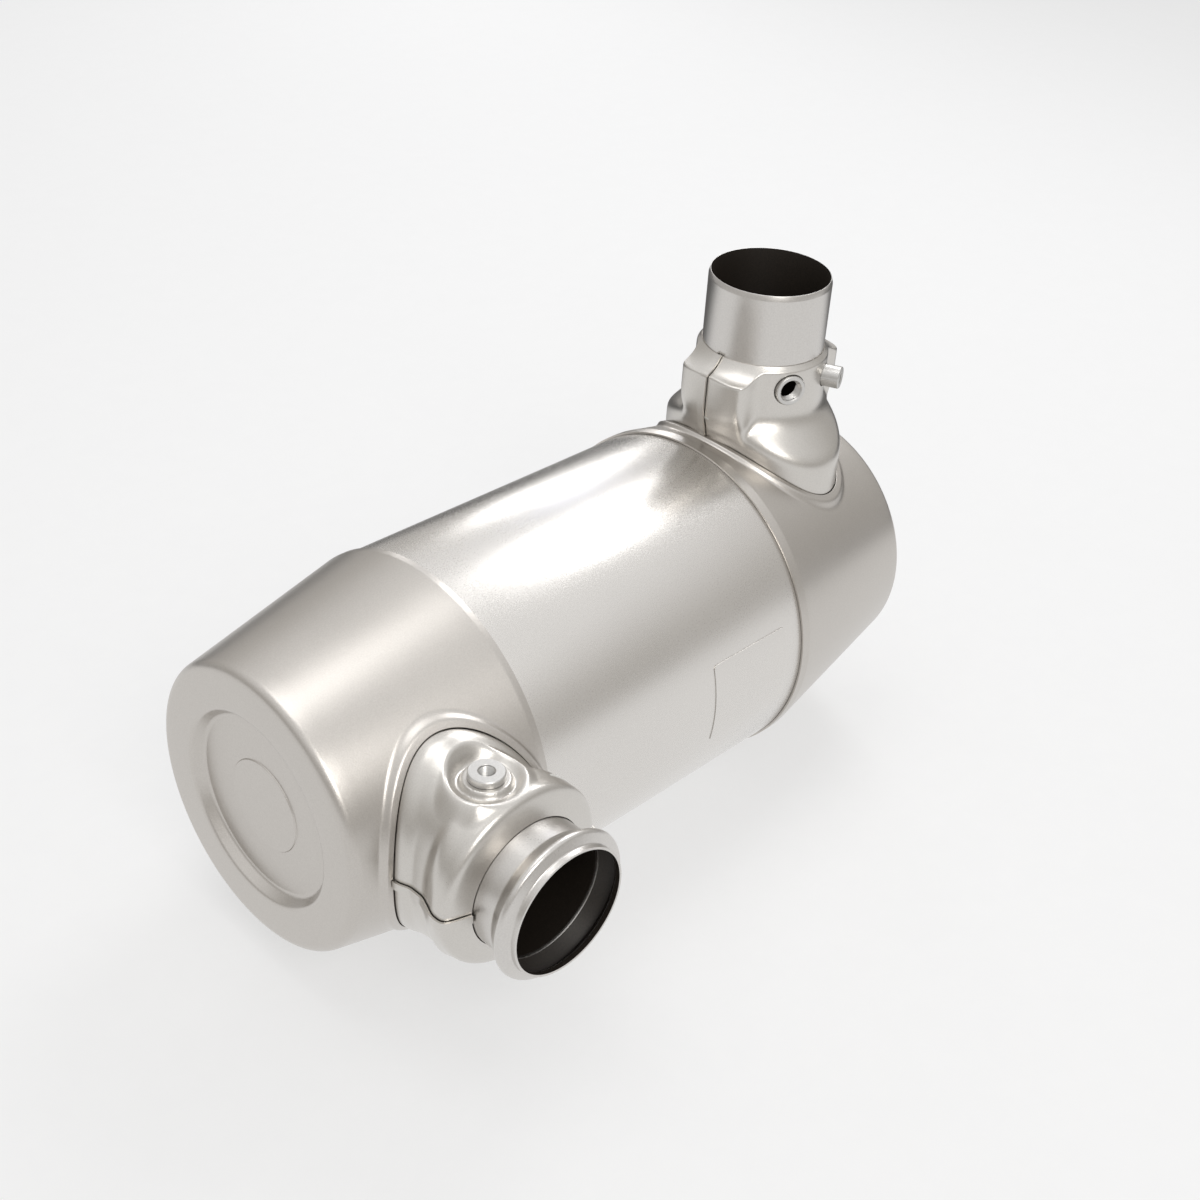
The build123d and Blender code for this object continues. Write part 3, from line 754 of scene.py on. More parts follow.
def drawn_cup(name, node, cup, size, side, neck_x):
    """A cup with its collar, both as closed shells of one object."""
    outline = cup_outline(cup)
    if side == "outlet":
        outline = outline * np.array([-1, 1])
    shell = place(name, turned(name, outline, *CAN_AXIS, cup_steel, CUP_STEPS))
    direction = (0, 0, 1) if side == "inlet" else (0, -1, 0)
    d, u, v = axes_of(direction)
    lip_room = -BARE_HALF - SLIP - neck_x if side == "outlet" else 2 * size[0]
    curve = []
    for a, b in grown_oval(size, PATCH_REACH, lip_room):
        where = np.array([a, b, 0]) if side == "inlet" else np.array([a, 0, b])
        curve.append((float(where @ u), float(where @ v)))
    cut(shell, column("collar_cut", curve, (neck_x, 0, 0), direction, 40, 260))
    joined(shell.data, collar_mesh(name + "_collar", size, lip_room, cup, side, neck_x))
    hand_over(shell, node, cup_steel)


drawn_cup("inlet_cup", "inlet_housing", INLET_CUP, INLET_OVAL, "inlet", INLET_X)
drawn_cup("outlet_cup", "outlet_housing", OUTLET_CUP, OUTLET_OVAL, "outlet", OUTLET_X)

# %% [markdown]
# ## The tubes
#
# Both tubes are plain drawn tube. The inlet's end has its edge broken; the outlet carries the bead that a
# V-band clamp grips. The sensor bushes go through their walls.

# %% Tubes
INLET_TUBE_FOOT, INLET_TUBE_TOP, TAPER, TAPER_HEIGHT = 118.1, 309.4, 1.5, 5.0
INLET_TUBE_AXIS = ((INLET_X, 0, 0), (0, 0, 1))
bore = TUBE_RADIUS - TUBE_GAUGE
inlet_section = [
    (INLET_TUBE_FOOT, bore), (INLET_TUBE_FOOT, TUBE_RADIUS), (INLET_TUBE_TOP - TAPER_HEIGHT, TUBE_RADIUS),
    (INLET_TUBE_TOP, TUBE_RADIUS - TAPER), (INLET_TUBE_TOP, bore),
]
inlet_corners = [0.2, 0.2, 0.35, 0.3, 0.25]
inlet_line = rounded([(200, bore), *inlet_section, (200.01, bore)], inlet_corners, 3)[:-1]
inlet_pipe = place(
    "inlet_pipe", turned("inlet_pipe", divided(inlet_line, 20), *INLET_TUBE_AXIS, inlet_tube_steel)
)

OUTLET_TUBE_FOOT, OUTLET_TUBE_MOUTH, BEAD_RADIUS = 122.0, 253.5, 68.6
OUTLET_TUBE_AXIS = ((OUTLET_X, 0, 0), (0, -1, 0))
bead = [
    (OUTLET_TUBE_FOOT, TUBE_RADIUS), (228.0, TUBE_RADIUS), (243.0, BEAD_RADIUS), (248.5, TUBE_RADIUS),
    (OUTLET_TUBE_MOUTH, TUBE_RADIUS),
]
bead_corners = [4.0, 4.0, 2.0]
bead_inner, bead_inner_corners = moved([(x, -r) for x, r in bead], bead_corners, -TUBE_GAUGE)
bead_inner = [(x, -r) for x, r in bead_inner]
outlet_line = np.concatenate([
    rounded(bead, bead_corners, 8), rounded(bead_inner, bead_inner_corners, 8)[::-1]
])
outlet_pipe = place(
    "outlet_pipe", turned("outlet_pipe", divided(outlet_line, 20), *OUTLET_TUBE_AXIS, outlet_tube_steel)
)
print("both tubes have a bore of", bore, "mm in radius")

# %% [markdown]
# A bush is a turned ring with a real thread in it. The thread is a ridge that climbs the bore, so a
# second tree makes it: a spiral of a given pitch carries a small four-cornered profile.

# %% Threaded bushes
def thread_tree():
    """A group that winds a four-cornered ridge into a spiral."""
    thread = ShapeTree("thread", Radius=0.01, Pitch=0.0015, Turns=10.0, Ridge=0.0007)
    radius, turns = thread.given("Radius"), thread.given("Turns")
    climb = turns * thread.given("Pitch")
    path = thread.node("GeometryNodeCurveSpiral", {}, {
        "Resolution": 40, "Rotations": turns, "Start Radius": radius, "End Radius": radius,
        "Height": climb,
    })
    level = thread.node("GeometryNodeSetCurveNormal", {"mode": "Z_UP"}, {"Curve": path})
    inputs = {"Resolution": 4, "Radius": thread.given("Ridge")}
    profile = thread.node("GeometryNodeCurvePrimitiveCircle", {}, inputs)
    ridge = thread.node("GeometryNodeCurveToMesh", {}, {
        "Curve": level, "Profile Curve": profile, "Fill Caps": True,
    })
    return thread.close(ridge)


THREAD = thread_tree()
BUSH_EDGE = 0.8


def bush(name, origin, direction, radius, foot, top, minor, pitch, flange=None, countersink=0.7):
    """A bush with a thread; a flange is (radius, height where it starts), the countersink in pitches."""
    entry = countersink * pitch
    major = minor + 0.5 * pitch
    body = [(foot, major), (foot, radius)]
    if flange:
        body += [(flange[1], radius), (flange[1], flange[0])]
    rim = flange[0] if flange else radius
    body += [
        (top - BUSH_EDGE, rim), (top, rim - BUSH_EDGE), (top, major + entry), (top - entry, major),
    ]
    mesh = turned(name, divided(np.array(body, float), 6), origin, direction, boss_steel, 72)
    turns = (top - foot - entry - 1.2 * pitch) / pitch
    ridge = THREAD.mesh(
        bpy.data.meshes.new("ridge"), Radius=major / 1000, Pitch=pitch / 1000, Turns=turns,
        Ridge=0.48 * pitch / 1000, Finish=boss_steel,
    )
    d, u, v = axes_of(direction)
    stand = Matrix((u, v, d)).transposed().to_4x4()
    stand.translation = (Vector(origin) + Vector(d) * (foot + 0.6 * pitch)) / 1000
    ridge.transform(stand)
    return place(name, joined(mesh, merged(ridge)))


BOSS_HEIGHT, BOSS_ANGLE = 219.0, 24.0


def boss_direction(angle):
    """Horizontal direction of a boss, turned from the front toward the inlet cap."""
    a = math.radians(angle)
    return (math.sin(a), -math.cos(a), 0.0)


nox_direction, port_direction = boss_direction(-BOSS_ANGLE), boss_direction(BOSS_ANGLE)
boss_origin = (INLET_X, 0, BOSS_HEIGHT)
dimple_x, dimple_y = OUTLET_X - 8.4, -166.0
sensor_axis = ((dimple_x, dimple_y, 0), (0, 0, 1))

NOX_RADIUS, PORT_RADIUS, SENSOR_RADIUS = 14.5, 10.5, 10.5
nox_bush = bush(
    "nox_bush", boss_origin, nox_direction, NOX_RADIUS, foot=54.4, top=65.0, minor=9.19, pitch=1.5
)
port_bush = bush(
    "port_bush", boss_origin, port_direction, PORT_RADIUS, foot=54.4, top=78.0, minor=4.46, pitch=1.0
)
sensor_bush = bush(
    "sensor_bush", *sensor_axis, SENSOR_RADIUS, foot=54.6, top=90.4, minor=6.19, pitch=1.5,
    flange=(15.2, 84.3), countersink=0.25,
)
hand_over(nox_bush, "nox_sensor_boss", boss_steel)
hand_over(port_bush, "inlet_port_boss", boss_steel)
hand_over(sensor_bush, "temperature_sensor_boss", boss_steel)

cut(inlet_pipe, round_column("hole", NOX_RADIUS + SLIP, boss_origin, nox_direction, 20, 90))
cut(inlet_pipe, round_column("hole", PORT_RADIUS + SLIP, boss_origin, port_direction, 20, 90))
cut(outlet_pipe, round_column("hole", SENSOR_RADIUS + SLIP, *sensor_axis, 20, 90))
hand_over(inlet_pipe, "inlet_tube", inlet_tube_steel)
hand_over(outlet_pipe, "outlet_tube", outlet_tube_steel)

# %% [markdown]
# ## The stamped necks
#
# A stamping has no sharp line anywhere but at its cut edge. Seen from the tube's axis, each neck is a
# radius that depends on the angle and the height, built from simple forms: the oval column of the collar,
# a conical skirt, a drum with flat ears, a bulge. Where two forms meet, a smooth minimum or maximum
# blends them like a die does.

# %% Blending forms
def smooth_min(a, b, k):
    """The smaller of two values, blended over a reach k."""
    h = np.clip(0.5 + 0.5 * (b - a) / k, 0, 1)
    return b * (1 - h) + a * h - k * h * (1 - h)


def smooth_max(a, b, k):
    """The larger of two values, blended over a reach k."""
    return -smooth_min(-a, -b, k)


def smooth_step(x, low, high):
    """0 below low, 1 above high, and smooth between."""
    t = np.clip((x - low) / (high - low), 0, 1)
    return t * t * (3 - 2 * t)


def oval_radius(theta, half_width, half_length, shift):
    """Distance from the neck's axis to an oval whose centre is shifted across."""
    c, s = np.cos(theta), np.sin(theta)
    a = (c / half_width) ** 2 + (s / half_length) ** 2
    b = shift * c / half_width**2
    return (b + np.sqrt(b**2 - a * ((shift / half_width) ** 2 - 1))) / a


print("smooth minimum of 10 and 11 over a reach of 8:", smooth_min(10.0, 11.0, 8.0))


# %% [markdown]
# Both halves of the inlet neck have the same form: a flat ear at each seam, a round bulge between the
# ears that clears the sensor bushes, and a skirt whose cone meets the oval wall in a soft rim. The roof
# flares up to the tube.

# %% Form of the inlet neck
EAR_FACE, EAR_REACH, EAR_HALF_WIDTH, BULGE = 76.0, 79.5, 38.0, 62.0
SKIRT_TOP, SKIRT_SLOPE = 187.0, 30 / 35
DRUM_FOOT, DRUM_FOOT_RADIUS, DRUM_SLOPE = 161.0, 66.0, 0.5
INLET_RIDGE, INLET_FLARE, RIDGE_RADIUS, FLARE_REACH = 226.2, 15.0, 79.0, 21.1


def inlet_wall(theta, z):
    """Radius of the inlet neck's wall at an angle and a height."""
    c, s = np.abs(np.cos(theta)), np.abs(np.sin(theta))
    cone = BULGE + (SKIRT_TOP - z) * SKIRT_SLOPE
    skirt = smooth_min(oval_radius(theta, *INLET_OVAL), cone, 6.0)
    outer_face = smooth_min(EAR_FACE / np.maximum(c, 1e-3), EAR_REACH + 0 * c, 3.0)
    ears = smooth_min(outer_face, EAR_HALF_WIDTH / np.maximum(s, 1e-3), 8.0)
    plan = smooth_max(ears, BULGE + 0 * s, 8.0)
    drum = smooth_min(plan, DRUM_FOOT_RADIUS + (z - DRUM_FOOT) * DRUM_SLOPE, 8.0)
    return smooth_max(skirt, drum, 8.0)


def inlet_roof(r):
    """Height of the inlet neck's roof at a radius: a ridge at the ears, then a flare up to the tube."""
    return INLET_RIDGE + INLET_FLARE * (np.clip(RIDGE_RADIUS - r, 0, None) / FLARE_REACH) ** 2


print("inlet neck: roof rises from", INLET_RIDGE, "to", round(float(inlet_roof(NECK_MOUTH)), 1))


# %% [markdown]
# The outlet neck leans from the oval collar into a round drum. It leaves the collar as the plain oval,
# wherever the collar's rim is, goes through a fuller section to a circle, and its face closes to the tube
# in a low cone.

# %% Form of the outlet neck
OUTLET_DRUM, OUTLET_SHOULDER, OUTLET_FACE, FACE_RADIUS = 81.0, 199.5, 206.5, 58.45
# Distance from the can's axis, then the section's reach to each side, half its length and its fullness.
OUTLET_SECTIONS = np.array([
    (90.0, 77.0, 62.0, 98.5, 2.0), (118.0, 77.0, 62.0, 98.5, 2.0), (128.0, 76.0, 61.2, 96.2, 2.0),
    (140.0, 74.6, 60.2, 93.0, 2.0), (153.0, 73.0, 59.4, 90.0, 2.05), (165.5, 73.0, 59.8, 87.3, 2.15),
    (177.0, 76.5, 69.5, 84.5, 2.3), (190.0, 81.0, 81.0, 81.0, 2.0), (215.0, 81.0, 81.0, 81.0, 2.0),
])


def smooth_table(h, heights, values):
    """A smooth curve through a table's values, without overshoot."""
    steps = np.diff(values) / np.diff(heights)
    before, after = steps[:-1], steps[1:]
    both = np.where(before + after == 0, 1, before + after)
    slopes = np.concatenate([[0], np.where(before * after > 0, 2 * before * after / both, 0), [0]])
    i = np.clip(np.searchsorted(heights, h) - 1, 0, len(heights) - 2)
    width = heights[i + 1] - heights[i]
    t = np.clip((h - heights[i]) / width, 0, 1)
    return (
        values[i] * (2 * t**3 - 3 * t**2 + 1) + slopes[i] * width * (t**3 - 2 * t**2 + t)
        + values[i + 1] * (-2 * t**3 + 3 * t**2) + slopes[i + 1] * width * (t**3 - t**2)
    )


def outlet_wall(theta, h):
    """Radius of the outlet neck's wall at an angle and a distance from the can's axis."""
    theta, h = np.broadcast_arrays(theta, h)
    heights = OUTLET_SECTIONS[:, 0]
    left, right, length, fullness = [
        smooth_table(h, heights, OUTLET_SECTIONS[:, k]) for k in (1, 2, 3, 4)
    ]
    half_width, shift = (left + right) / 2, (right - left) / 2
    low, high = np.zeros_like(left), np.full_like(left, 130.0)
    c, s = np.cos(theta), np.sin(theta)
    for _ in range(30):
        middle = (low + high) / 2
        across, along = np.abs((middle * c - shift) / half_width), np.abs(middle * s / length)
        outside = across**fullness + along**fullness > 1
        high, low = np.where(outside, middle, high), np.where(outside, low, middle)
    lofted = (low + high) / 2
    plug = oval_radius(theta, *OUTLET_OVAL)
    collar_radius = cone_radius(OUTLET_X + plug * c, OUTLET_CUP) + COLLAR_HEIGHT
    rim = np.sqrt(collar_radius**2 - (plug * s) ** 2)
    return lofted + (plug - lofted) * (1 - smooth_step(h, rim + 1.0, rim + 17.0))


def outlet_roof(r):
    """Height of the outlet neck's face at a radius."""
    rise = (OUTLET_FACE - OUTLET_SHOULDER) / (OUTLET_DRUM - FACE_RADIUS)
    return OUTLET_SHOULDER + (OUTLET_DRUM - r) * rise


print("outlet neck: face rises from", OUTLET_SHOULDER, "to", round(outlet_roof(NECK_MOUTH), 1))


# %% [markdown]
# A half stamping is a grid on that form. Near the seam its columns run straight along the parting plane,
# as a cut edge does, and farther away they fan out from the axis. The lapping half's edge is set outwards
# by the gauge of the other half, a joggle a few millimetres wide.

# %% A half stamping
REFERENCE = 77.0
WALL_ROWS, ROOF_ROWS = 96, 30
SEAM_STRAIGHT, SEAM_FANNED = 12.0, 45.0
JOGGLE_START, JOGGLE_END = 7.4, 8.8
SOLVING_ROUNDS = 12


def seam_columns(start, turns, count):
    """Places of the columns: distance across the seam at the reference radius, and the side.

    They run from the right-hand side round to the left-hand side, through the half that turns says.
    """
    begin = math.asin(start / REFERENCE)
    angles = np.linspace(begin, turns * math.pi - begin, count)
    return REFERENCE * np.sin(angles), np.cos(angles)


def half_stamping(wall, roof, cup, neck_x, begin, turns, edge, over, columns):
    """One half of a neck, from its collar to its mouth, and how far its strap is set out.

    begin: distance across the seam where the half starts; turns: +1 or -1, the side that it covers;
    edge: where the lapping half's edge is; over: whether this half laps over the other.
    """
    across_ref, cosine = seam_columns(begin, turns, columns)
    sign = np.where(cosine >= 0, 1.0, -1.0)
    weight = smooth_step(np.abs(across_ref), SEAM_STRAIGHT, SEAM_FANNED)
    beyond = turns * (across_ref - edge)
    strap = (1 - smooth_step(beyond, JOGGLE_START, JOGGLE_END)) * over
    # The strap starts above the collar's rim, because it stands farther out than the collar's hole.
    above_rim = 1 - smooth_step(beyond, JOGGLE_START + 0.8, JOGGLE_END + 0.8)
    lift = (COLLAR_HEIGHT + 0.5) * above_rim * over

    def at_radius(r):
        """Places of the columns where the form has that radius."""
        across = across_ref * (r / REFERENCE) ** weight
        across = np.clip(across, -r, r)
        return sign * np.sqrt(np.maximum(r**2 - across**2, 0)), across

    def wall_point(height):
        """Places of the columns on the wall at a height, and their radius."""
        r = np.full(columns, 75.0)
        for _ in range(SOLVING_ROUNDS):
            x, y = at_radius(r)
            r = wall(np.arctan2(y, x), height)
        return (*at_radius(r), r)

    foot = np.full(columns, 140.0)
    for _ in range(SOLVING_ROUNDS):
        x, y, _ = wall_point(foot)
        foot = np.sqrt(np.maximum((cone_radius(neck_x + x, cup) + lift) ** 2 - y**2, 0))
    top = np.full(columns, roof(70.0) - 4)
    for _ in range(SOLVING_ROUNDS):
        top = 0.5 * top + 0.5 * roof(wall_point(top)[2])
    grid = []
    for t in np.linspace(0, 1, WALL_ROWS):
        height = foot + (top - foot) * t
        x, y, _ = wall_point(height)
        grid.append(np.stack([x, y, height], axis=1))
    edge_radius = np.hypot(grid[-1][:, 0], grid[-1][:, 1])
    for t in np.linspace(0, 1, ROOF_ROWS + 1)[1:]:
        r = edge_radius + (NECK_MOUTH - edge_radius) * t
        x, y = at_radius(r)
        grid.append(np.stack([x, y, roof(r)], axis=1))
    return np.array(grid), strap


# %% [markdown]
# The forms meet in bends that are still too tight for drawn sheet. Averaging each point with its
# neighbours, a few times over, rounds them as a die does, while the cut edges stay where they are. Then
# the grid becomes sheet.

# %% From a form to sheet
KEPT_ROWS, FADE_ROWS, SHOULDER_ROWS = 2, 6, 13.0
TINY = 1e-9


def evened(g):
    """A grid whose rows are moved halfway to the mean of their neighbours."""
    out = g.copy()
    out[1:-1] = (g[:-2] + 2 * g[1:-1] + g[2:]) / 4
    return out


def relaxed(grid, rounds, shoulder_rounds):
    """Rounds off every bend of a grid a little, and its shoulder more, like sheet drawn over a die."""
    rows = grid.shape[0]
    hold = np.zeros(rows)
    hold[KEPT_ROWS:-1] = 1
    hold[KEPT_ROWS:KEPT_ROWS + FADE_ROWS] = np.linspace(0, 1, FADE_ROWS)
    hold[-1 - FADE_ROWS:-1] = np.linspace(1, 0.2, FADE_ROWS)
    hold = hold[:, None, None]
    from_shoulder = (np.arange(rows) - (WALL_ROWS - 1)) / SHOULDER_ROWS
    near = np.exp(-(from_shoulder**2))[:, None, None] * (hold > 0)
    g = grid.copy()
    for _ in range(rounds):
        g = g + (evened(g) - g) * hold
        g = g + (evened(g.swapaxes(0, 1)).swapaxes(0, 1) - g) * hold
    for _ in range(shoulder_rounds):
        g = g + (evened(g) - g) * near
    return g


def grid_normals(grid, axis_point, axis):
    """Outward directions at the points of a grid round an axis, evened out a little."""
    n = np.cross(np.gradient(grid, axis=1), np.gradient(grid, axis=0))
    n /= np.maximum(np.linalg.norm(n, axis=2), TINY)[:, :, None]
    for _ in range(3):
        n = evened(n)
        n = evened(n.swapaxes(0, 1)).swapaxes(0, 1)
    n /= np.maximum(np.linalg.norm(n, axis=2), TINY)[:, :, None]
    row, column = grid.shape[0] // 3, grid.shape[1] // 2
    away = grid[row, column] - axis_point
    away = away - axis * (away @ axis)
    return n if n[row, column] @ away > 0 else -n


def sheet_mesh(name, outer, inner):
    """A closed sheet between two grids, with faces round its four edges."""
    rows, columns = outer.shape[:2]
    count = rows * columns
    faces = []
    for r in range(rows - 1):
        for c in range(columns - 1):
            a, b = r * columns + c, (r + 1) * columns + c
            faces.append((a, a + 1, b + 1, b))
            faces.append((count + a, count + b, count + b + 1, count + a + 1))
    border = list(range(columns))
    border += [r * columns + columns - 1 for r in range(1, rows)]
    border += [(rows - 1) * columns + c for c in range(columns - 2, -1, -1)]
    border += [r * columns for r in range(rows - 2, 0, -1)]
    for i, a in enumerate(border):
        b = border[(i + 1) % len(border)]
        faces.append((b, a, count + a, count + b))
    points = np.concatenate([outer.reshape(-1, 3), inner.reshape(-1, 3)]) / 1000
    mesh = bpy.data.meshes.new(name)
    mesh.from_pydata(points.tolist(), [], faces)
    return merged(mesh)


# %% [markdown]
# The upper outlet stamping has a round dimple with a raised pad, so that the sensor's disc sits level. It
# is pressed straight down, so points of the form move along Z only, by their distance from the boss.

# %% Dimple
PAD_HEIGHT, DIMPLE_FLOOR = 84.0, 79.0
PAD_EDGE, PAD_FOOT = 18.6, 22.4
DIMPLE_WALL, DIMPLE_REACH = 22.5, 34.0
SHELF_HEIGHT, SHELF_RADIUS, SHELF_FALL, SHELF_CURVE, SHELF_BLEND = 83.0, 30.0, 0.5, 0.08, 9.0


def pressed(points):
    """World points of the upper outlet stamping with the dimple pressed in.

    A low shelf round the dimple keeps its rim level; it fades toward the tube and below the seam.
    """
    rho = np.hypot(points[..., 0] - dimple_x, points[..., 1] - dimple_y)
    z = points[..., 2]
    beyond = np.maximum(rho - SHELF_RADIUS, 0)
    shelf = SHELF_HEIGHT - SHELF_FALL * beyond - SHELF_CURVE * beyond**2
    there = (1 - smooth_step(-points[..., 1], 184, 197)) * smooth_step(z, 40, 60) * (rho < 60)
    body = z + (smooth_max(z, shelf, SHELF_BLEND) - z) * there
    seat = PAD_HEIGHT - (PAD_HEIGHT - DIMPLE_FLOOR) * smooth_step(rho, PAD_EDGE, PAD_FOOT)
    within = 1 - smooth_step(rho, DIMPLE_WALL, DIMPLE_REACH)
    sunk = np.where(z > 40, seat * within + body * (1 - within), z)
    return np.stack([points[..., 0], points[..., 1], sunk], axis=-1)


print("dimple", PAD_HEIGHT - DIMPLE_FLOOR, "mm below its pad, at", round(dimple_x, 1), dimple_y)

# %% [markdown]
# Each neck's own frame is turned into the object's, the lapping strap is set out along the normals, and a
# second grid one gauge further in closes the sheet. Last come the holes for the bushes.

# %% Four stampings
def stamp(name, neck, begin, turns, edge, over, columns, press=False):
    """A finished half of a neck."""
    wall, roof, cup, side, neck_x, rounds, shoulder_rounds = neck
    grid, strap = half_stamping(wall, roof, cup, neck_x, begin, turns, edge, over, columns)
    g = relaxed(grid, rounds, shoulder_rounds)
    if side == "inlet":
        world = np.stack([g[..., 0] + neck_x, g[..., 1], g[..., 2]], axis=-1)
        axis = np.array([0, 0, 1.0])
    else:
        world = np.stack([g[..., 0] + neck_x, -g[..., 2], g[..., 1]], axis=-1)
        axis = np.array([0, -1.0, 0])
    axis_point = np.array([neck_x, 0, 0])
    set_out = (strap * (NECK_GAUGE + DARK_GAP))[None, :, None]
    world = world + grid_normals(world, axis_point, axis) * set_out
    if press:
        world = pressed(world)
    inner = world - grid_normals(world, axis_point, axis) * NECK_GAUGE
    return place(name, sheet_mesh(name, world, inner))


INLET_NECK = (inlet_wall, inlet_roof, INLET_CUP, "inlet", INLET_X, 7, 8)
OUTLET_NECK = (outlet_wall, outlet_roof, OUTLET_CUP, "outlet", OUTLET_X, 9, 60)

neck_front = stamp("neck_front", INLET_NECK, begin=5.0, turns=-1, edge=0.0, over=0, columns=300)
cut(neck_front, round_column("hole", NOX_RADIUS + DARK_GAP, boss_origin, nox_direction, 40, 90))
cut(neck_front, round_column("hole", PORT_RADIUS + DARK_GAP, boss_origin, port_direction, 40, 90))
hand_over(neck_front, "inlet_neck_front", neck_steel)

neck_rear = stamp("neck_rear", INLET_NECK, begin=0.0, turns=1, edge=0.0, over=1, columns=300)
hand_over(neck_rear, "inlet_neck_rear", neck_steel)

neck_upper = stamp(
    "neck_upper", OUTLET_NECK, begin=-3.0, turns=1, edge=0.0, over=0, columns=330, press=True
)
cut(neck_upper, round_column("hole", SENSOR_RADIUS + SLIP, *sensor_axis, 60, 110))
hand_over(neck_upper, "outlet_neck_upper", neck_steel)

neck_lower = stamp("neck_lower", OUTLET_NECK, begin=2.0, turns=-1, edge=2.0, over=1, columns=300)
hand_over(neck_lower, "outlet_neck_lower", neck_steel)

# %% [markdown]
# ## The studio
#
# The camera stands where the photographer's did: its place and angles were found from the ellipses of the
# can and the tubes. A pale floor carries a soft shadow, big soft lamps light the steel, and the backdrop
# is plain white.

# %% Camera
PICTURE_WIDTH, FOCAL_LENGTH, SENSOR_WIDTH = 1200, 1787.3, 36.0
azimuth, elevation, roll = (math.radians(v) for v in (42.4968, 33.5533, 3.9787))
level = Vector((math.cos(azimuth), math.sin(azimuth), 0))
look = level * math.cos(elevation) - Vector((0, 0, math.sin(elevation)))
right = look.cross(Vector((0, 0, 1))).normalized()
up = right.cross(look)
camera_right = right * math.cos(roll) + up * math.sin(roll)
camera_up = -right * math.sin(roll) + up * math.cos(roll)
stand = Matrix((camera_right, camera_up, -look)).transposed().to_4x4()
stand.translation = Vector((-0.967317, -0.938129, 0.955195))
lens = bpy.data.cameras.new("camera")
lens.sensor_width, lens.lens = SENSOR_WIDTH, SENSOR_WIDTH * FOCAL_LENGTH / PICTURE_WIDTH
lens.clip_start, lens.clip_end = 0.05, 60
camera = bpy.data.objects.new("camera", lens)
camera.matrix_world = stand
bpy.context.scene.collection.objects.link(camera)
bpy.context.scene.camera = camera
print("lens", round(lens.lens, 1), "mm,", round(stand.translation.length, 2), "m from the object")

# %% [markdown]
# A backdrop that is plain white to the eye would also light the object from all round and wash it out. So
# the world is told two things: rays that see or mirror it find it white, and rays that only carry light
# find it half as bright.

# %% Backdrop
SHOWN_RAYS = ("Is Camera Ray", "Is Glossy Ray", "Is Transmission Ray")


def shown(nodes):
    """1 for the rays that see or mirror the backdrop, 0 for those that light the object."""
    first, *others = [nodes.node("ShaderNodeLightPath", output=ray) for ray in SHOWN_RAYS]
    for other in others:
        first = first.maths("MAXIMUM", other)
    return first


studio = bpy.data.worlds.new("studio")
studio.use_nodes = True
bpy.context.scene.world = studio
backdrop = NodeTree(studio.node_tree)
background = studio.node_tree.nodes["Background"]
backdrop.feed(background.inputs["Strength"], shown(backdrop) * 0.5 + 0.5)
print("backdrop shown to", SHOWN_RAYS)

# %% [markdown]
# Bright metal shows its surroundings, so an all-white studio leaves it flat. A photographer hangs grey
# cards round the horizon, out of the frame, and their dim reflections shade a cylinder. Here the backdrop
# itself is greyer near the horizon, only for the rays that the metal mirrors; the camera still sees plain
# white.

# %% What the metal mirrors
HORIZON = [
    (0.30, (1.00, 1.00, 1.00)), (0.46, (0.80, 0.79, 0.78)), (0.55, (0.54, 0.525, 0.505)),
    (0.63, (0.60, 0.585, 0.56)), (0.74, (0.80, 0.79, 0.78)), (0.84, (1.00, 1.00, 1.00)),
]
direction = backdrop.node("ShaderNodeTexCoord", output="Generated")
ramp = backdrop.node("ShaderNodeValToRGB", {}, {0: direction.part(2) * 0.5 + 0.5})
stops = ramp.socket.node.color_ramp.elements
for height_on_ramp, _ in HORIZON[:-2]:
    stops.new(height_on_ramp)
for stop, (height_on_ramp, tone) in zip(stops, HORIZON):
    stop.position, stop.color = height_on_ramp, (*tone, 1)
seen = backdrop.node("ShaderNodeLightPath", output="Is Camera Ray")
backdrop.feed(background.inputs["Color"], backdrop.node(
    "ShaderNodeMix", {"data_type": "RGBA"}, {0: seen, 6: ramp, 7: (1, 1, 1, 1)}, 2
))
print("stops on the horizon:", [round(stop.position, 2) for stop in stops])

# %% [markdown]
# The floor is pale paper that takes the object's shadow. Half of what the camera sees of it is plain
# white, and most of what the metal mirrors, which keeps it light to the far edge without any more light
# on the object. Only the metal sees it turn grey on the far side, which draws a dark line along the top
# of the cylinder.

# %% Floor
FLOOR_LEVEL, FLOOR_REACH = -0.1625, 6.0
PLAIN_SHARE, MIRRORED_SHARE = 0.55, 0.35
FAR_SIDE, FAR_DISTANCE, FAR_FADE = math.radians(48), 0.8, 0.5
floor_mesh = bpy.data.meshes.new("floor")
corners = [(x * FLOOR_REACH, y * FLOOR_REACH, FLOOR_LEVEL) for x, y in ((-1, -1), (1, -1), (1, 1), (-1, 1))]
floor_mesh.from_pydata(corners, [], [(0, 1, 2, 3)])
floor = place("floor", floor_mesh)
paper = Finish("floor_paper")
fibres = paper.noise(40, 4.0)
paper_white = paper.tint(fibres, (0.90, 0.90, 0.90), (0.95, 0.95, 0.95))
paper.set(color=paper_white, roughness=0.9, metallic=0.0)
behind = paper.place.part(0) * math.cos(FAR_SIDE) + paper.place.part(1) * math.sin(FAR_SIDE)
mirrored = paper.node("ShaderNodeLightPath", output="Is Glossy Ray")
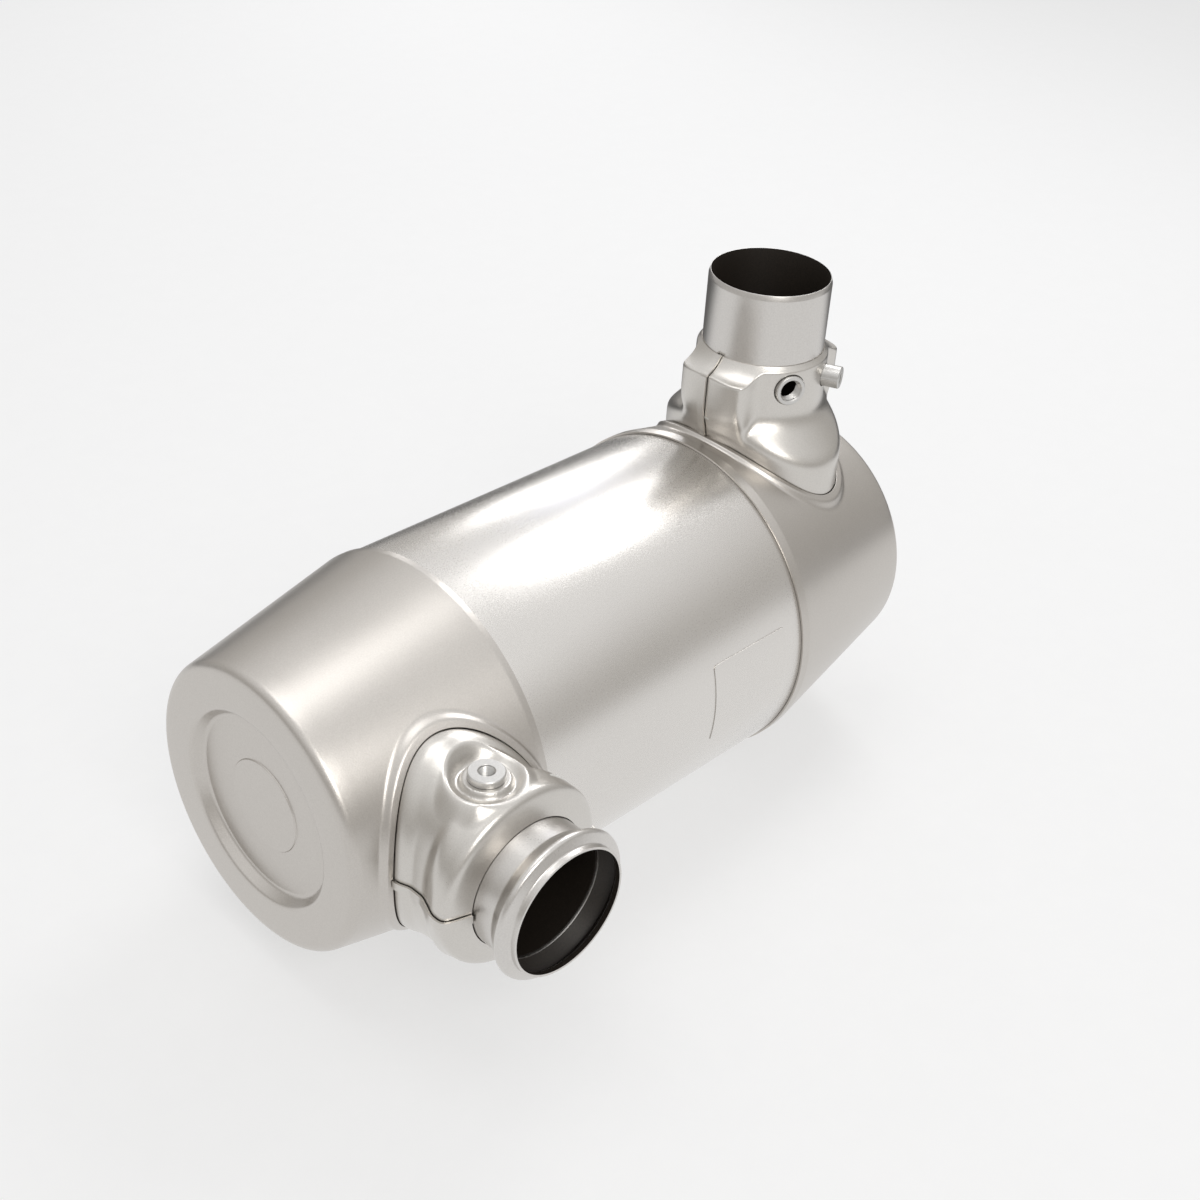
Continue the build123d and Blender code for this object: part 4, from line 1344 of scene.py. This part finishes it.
dimmed = mirrored * behind.above(FAR_DISTANCE, FAR_FADE)
glow_color = paper.tint(dimmed, (1, 1, 1), (0.04, 0.04, 0.04))
glow = paper.node("ShaderNodeEmission", {}, {"Color": glow_color, "Strength": 1.0})
paper_shader = Wire(paper, paper.shader.outputs[0])
plain = shown(paper) * PLAIN_SHARE + mirrored * MIRRORED_SHARE
both = paper.node("ShaderNodeMixShader", {}, {0: plain, 1: paper_shader, 2: glow})
paper.feed(paper.tree.nodes["Material Output"].inputs["Surface"], both)
floor.data.materials.append(paper.material)
print("floor at", FLOOR_LEVEL, "m")

# %% [markdown]
# Steel is lit by what it mirrors, so the lamps are broad and soft. A window and a low window behind the
# object draw the two bright bands along the can, with a faint blue panel between them; the front and top
# lamps fill the rest.

# %% Lamps
def lamp(name, azimuth, elevation, distance, size, power, color=(1, 1, 1)):
    """A soft square lamp that looks at the object from a direction in degrees; metres and watts."""
    a, e = math.radians(azimuth), math.radians(elevation)
    light = bpy.data.lights.new(name, "AREA")
    light.shape, light.size, light.energy, light.color = "SQUARE", size, power, color
    stand = bpy.data.objects.new(name, light)
    toward = Vector((math.cos(e) * math.cos(a), math.cos(e) * math.sin(a), math.sin(e)))
    stand.location = toward * distance
    stand.rotation_euler = stand.location.to_track_quat("Z", "Y").to_euler()
    bpy.context.scene.collection.objects.link(stand)


lamp("window", 18, 48, 2.8, 1.2, 17, (0.98, 0.985, 1.0))
lamp("low_window", 50, 17, 3.4, 0.85, 8.0, (0.98, 0.985, 1.0))
lamp("sky_panel", 44, 31, 3.4, 0.5, 0.8, (0.62, 0.72, 1.0))
lamp("front", -114, 39, 3.1, 1.2, 20, (1.0, 0.985, 0.96))
lamp("top", 135, 79, 3.1, 1.6, 14)
print("lamps:", [light.name for light in bpy.data.lights])

# %% [markdown]
# Colours are shown as they are, without a film look.

# %% Colour view
bpy.context.scene.view_settings.view_transform = "Standard"
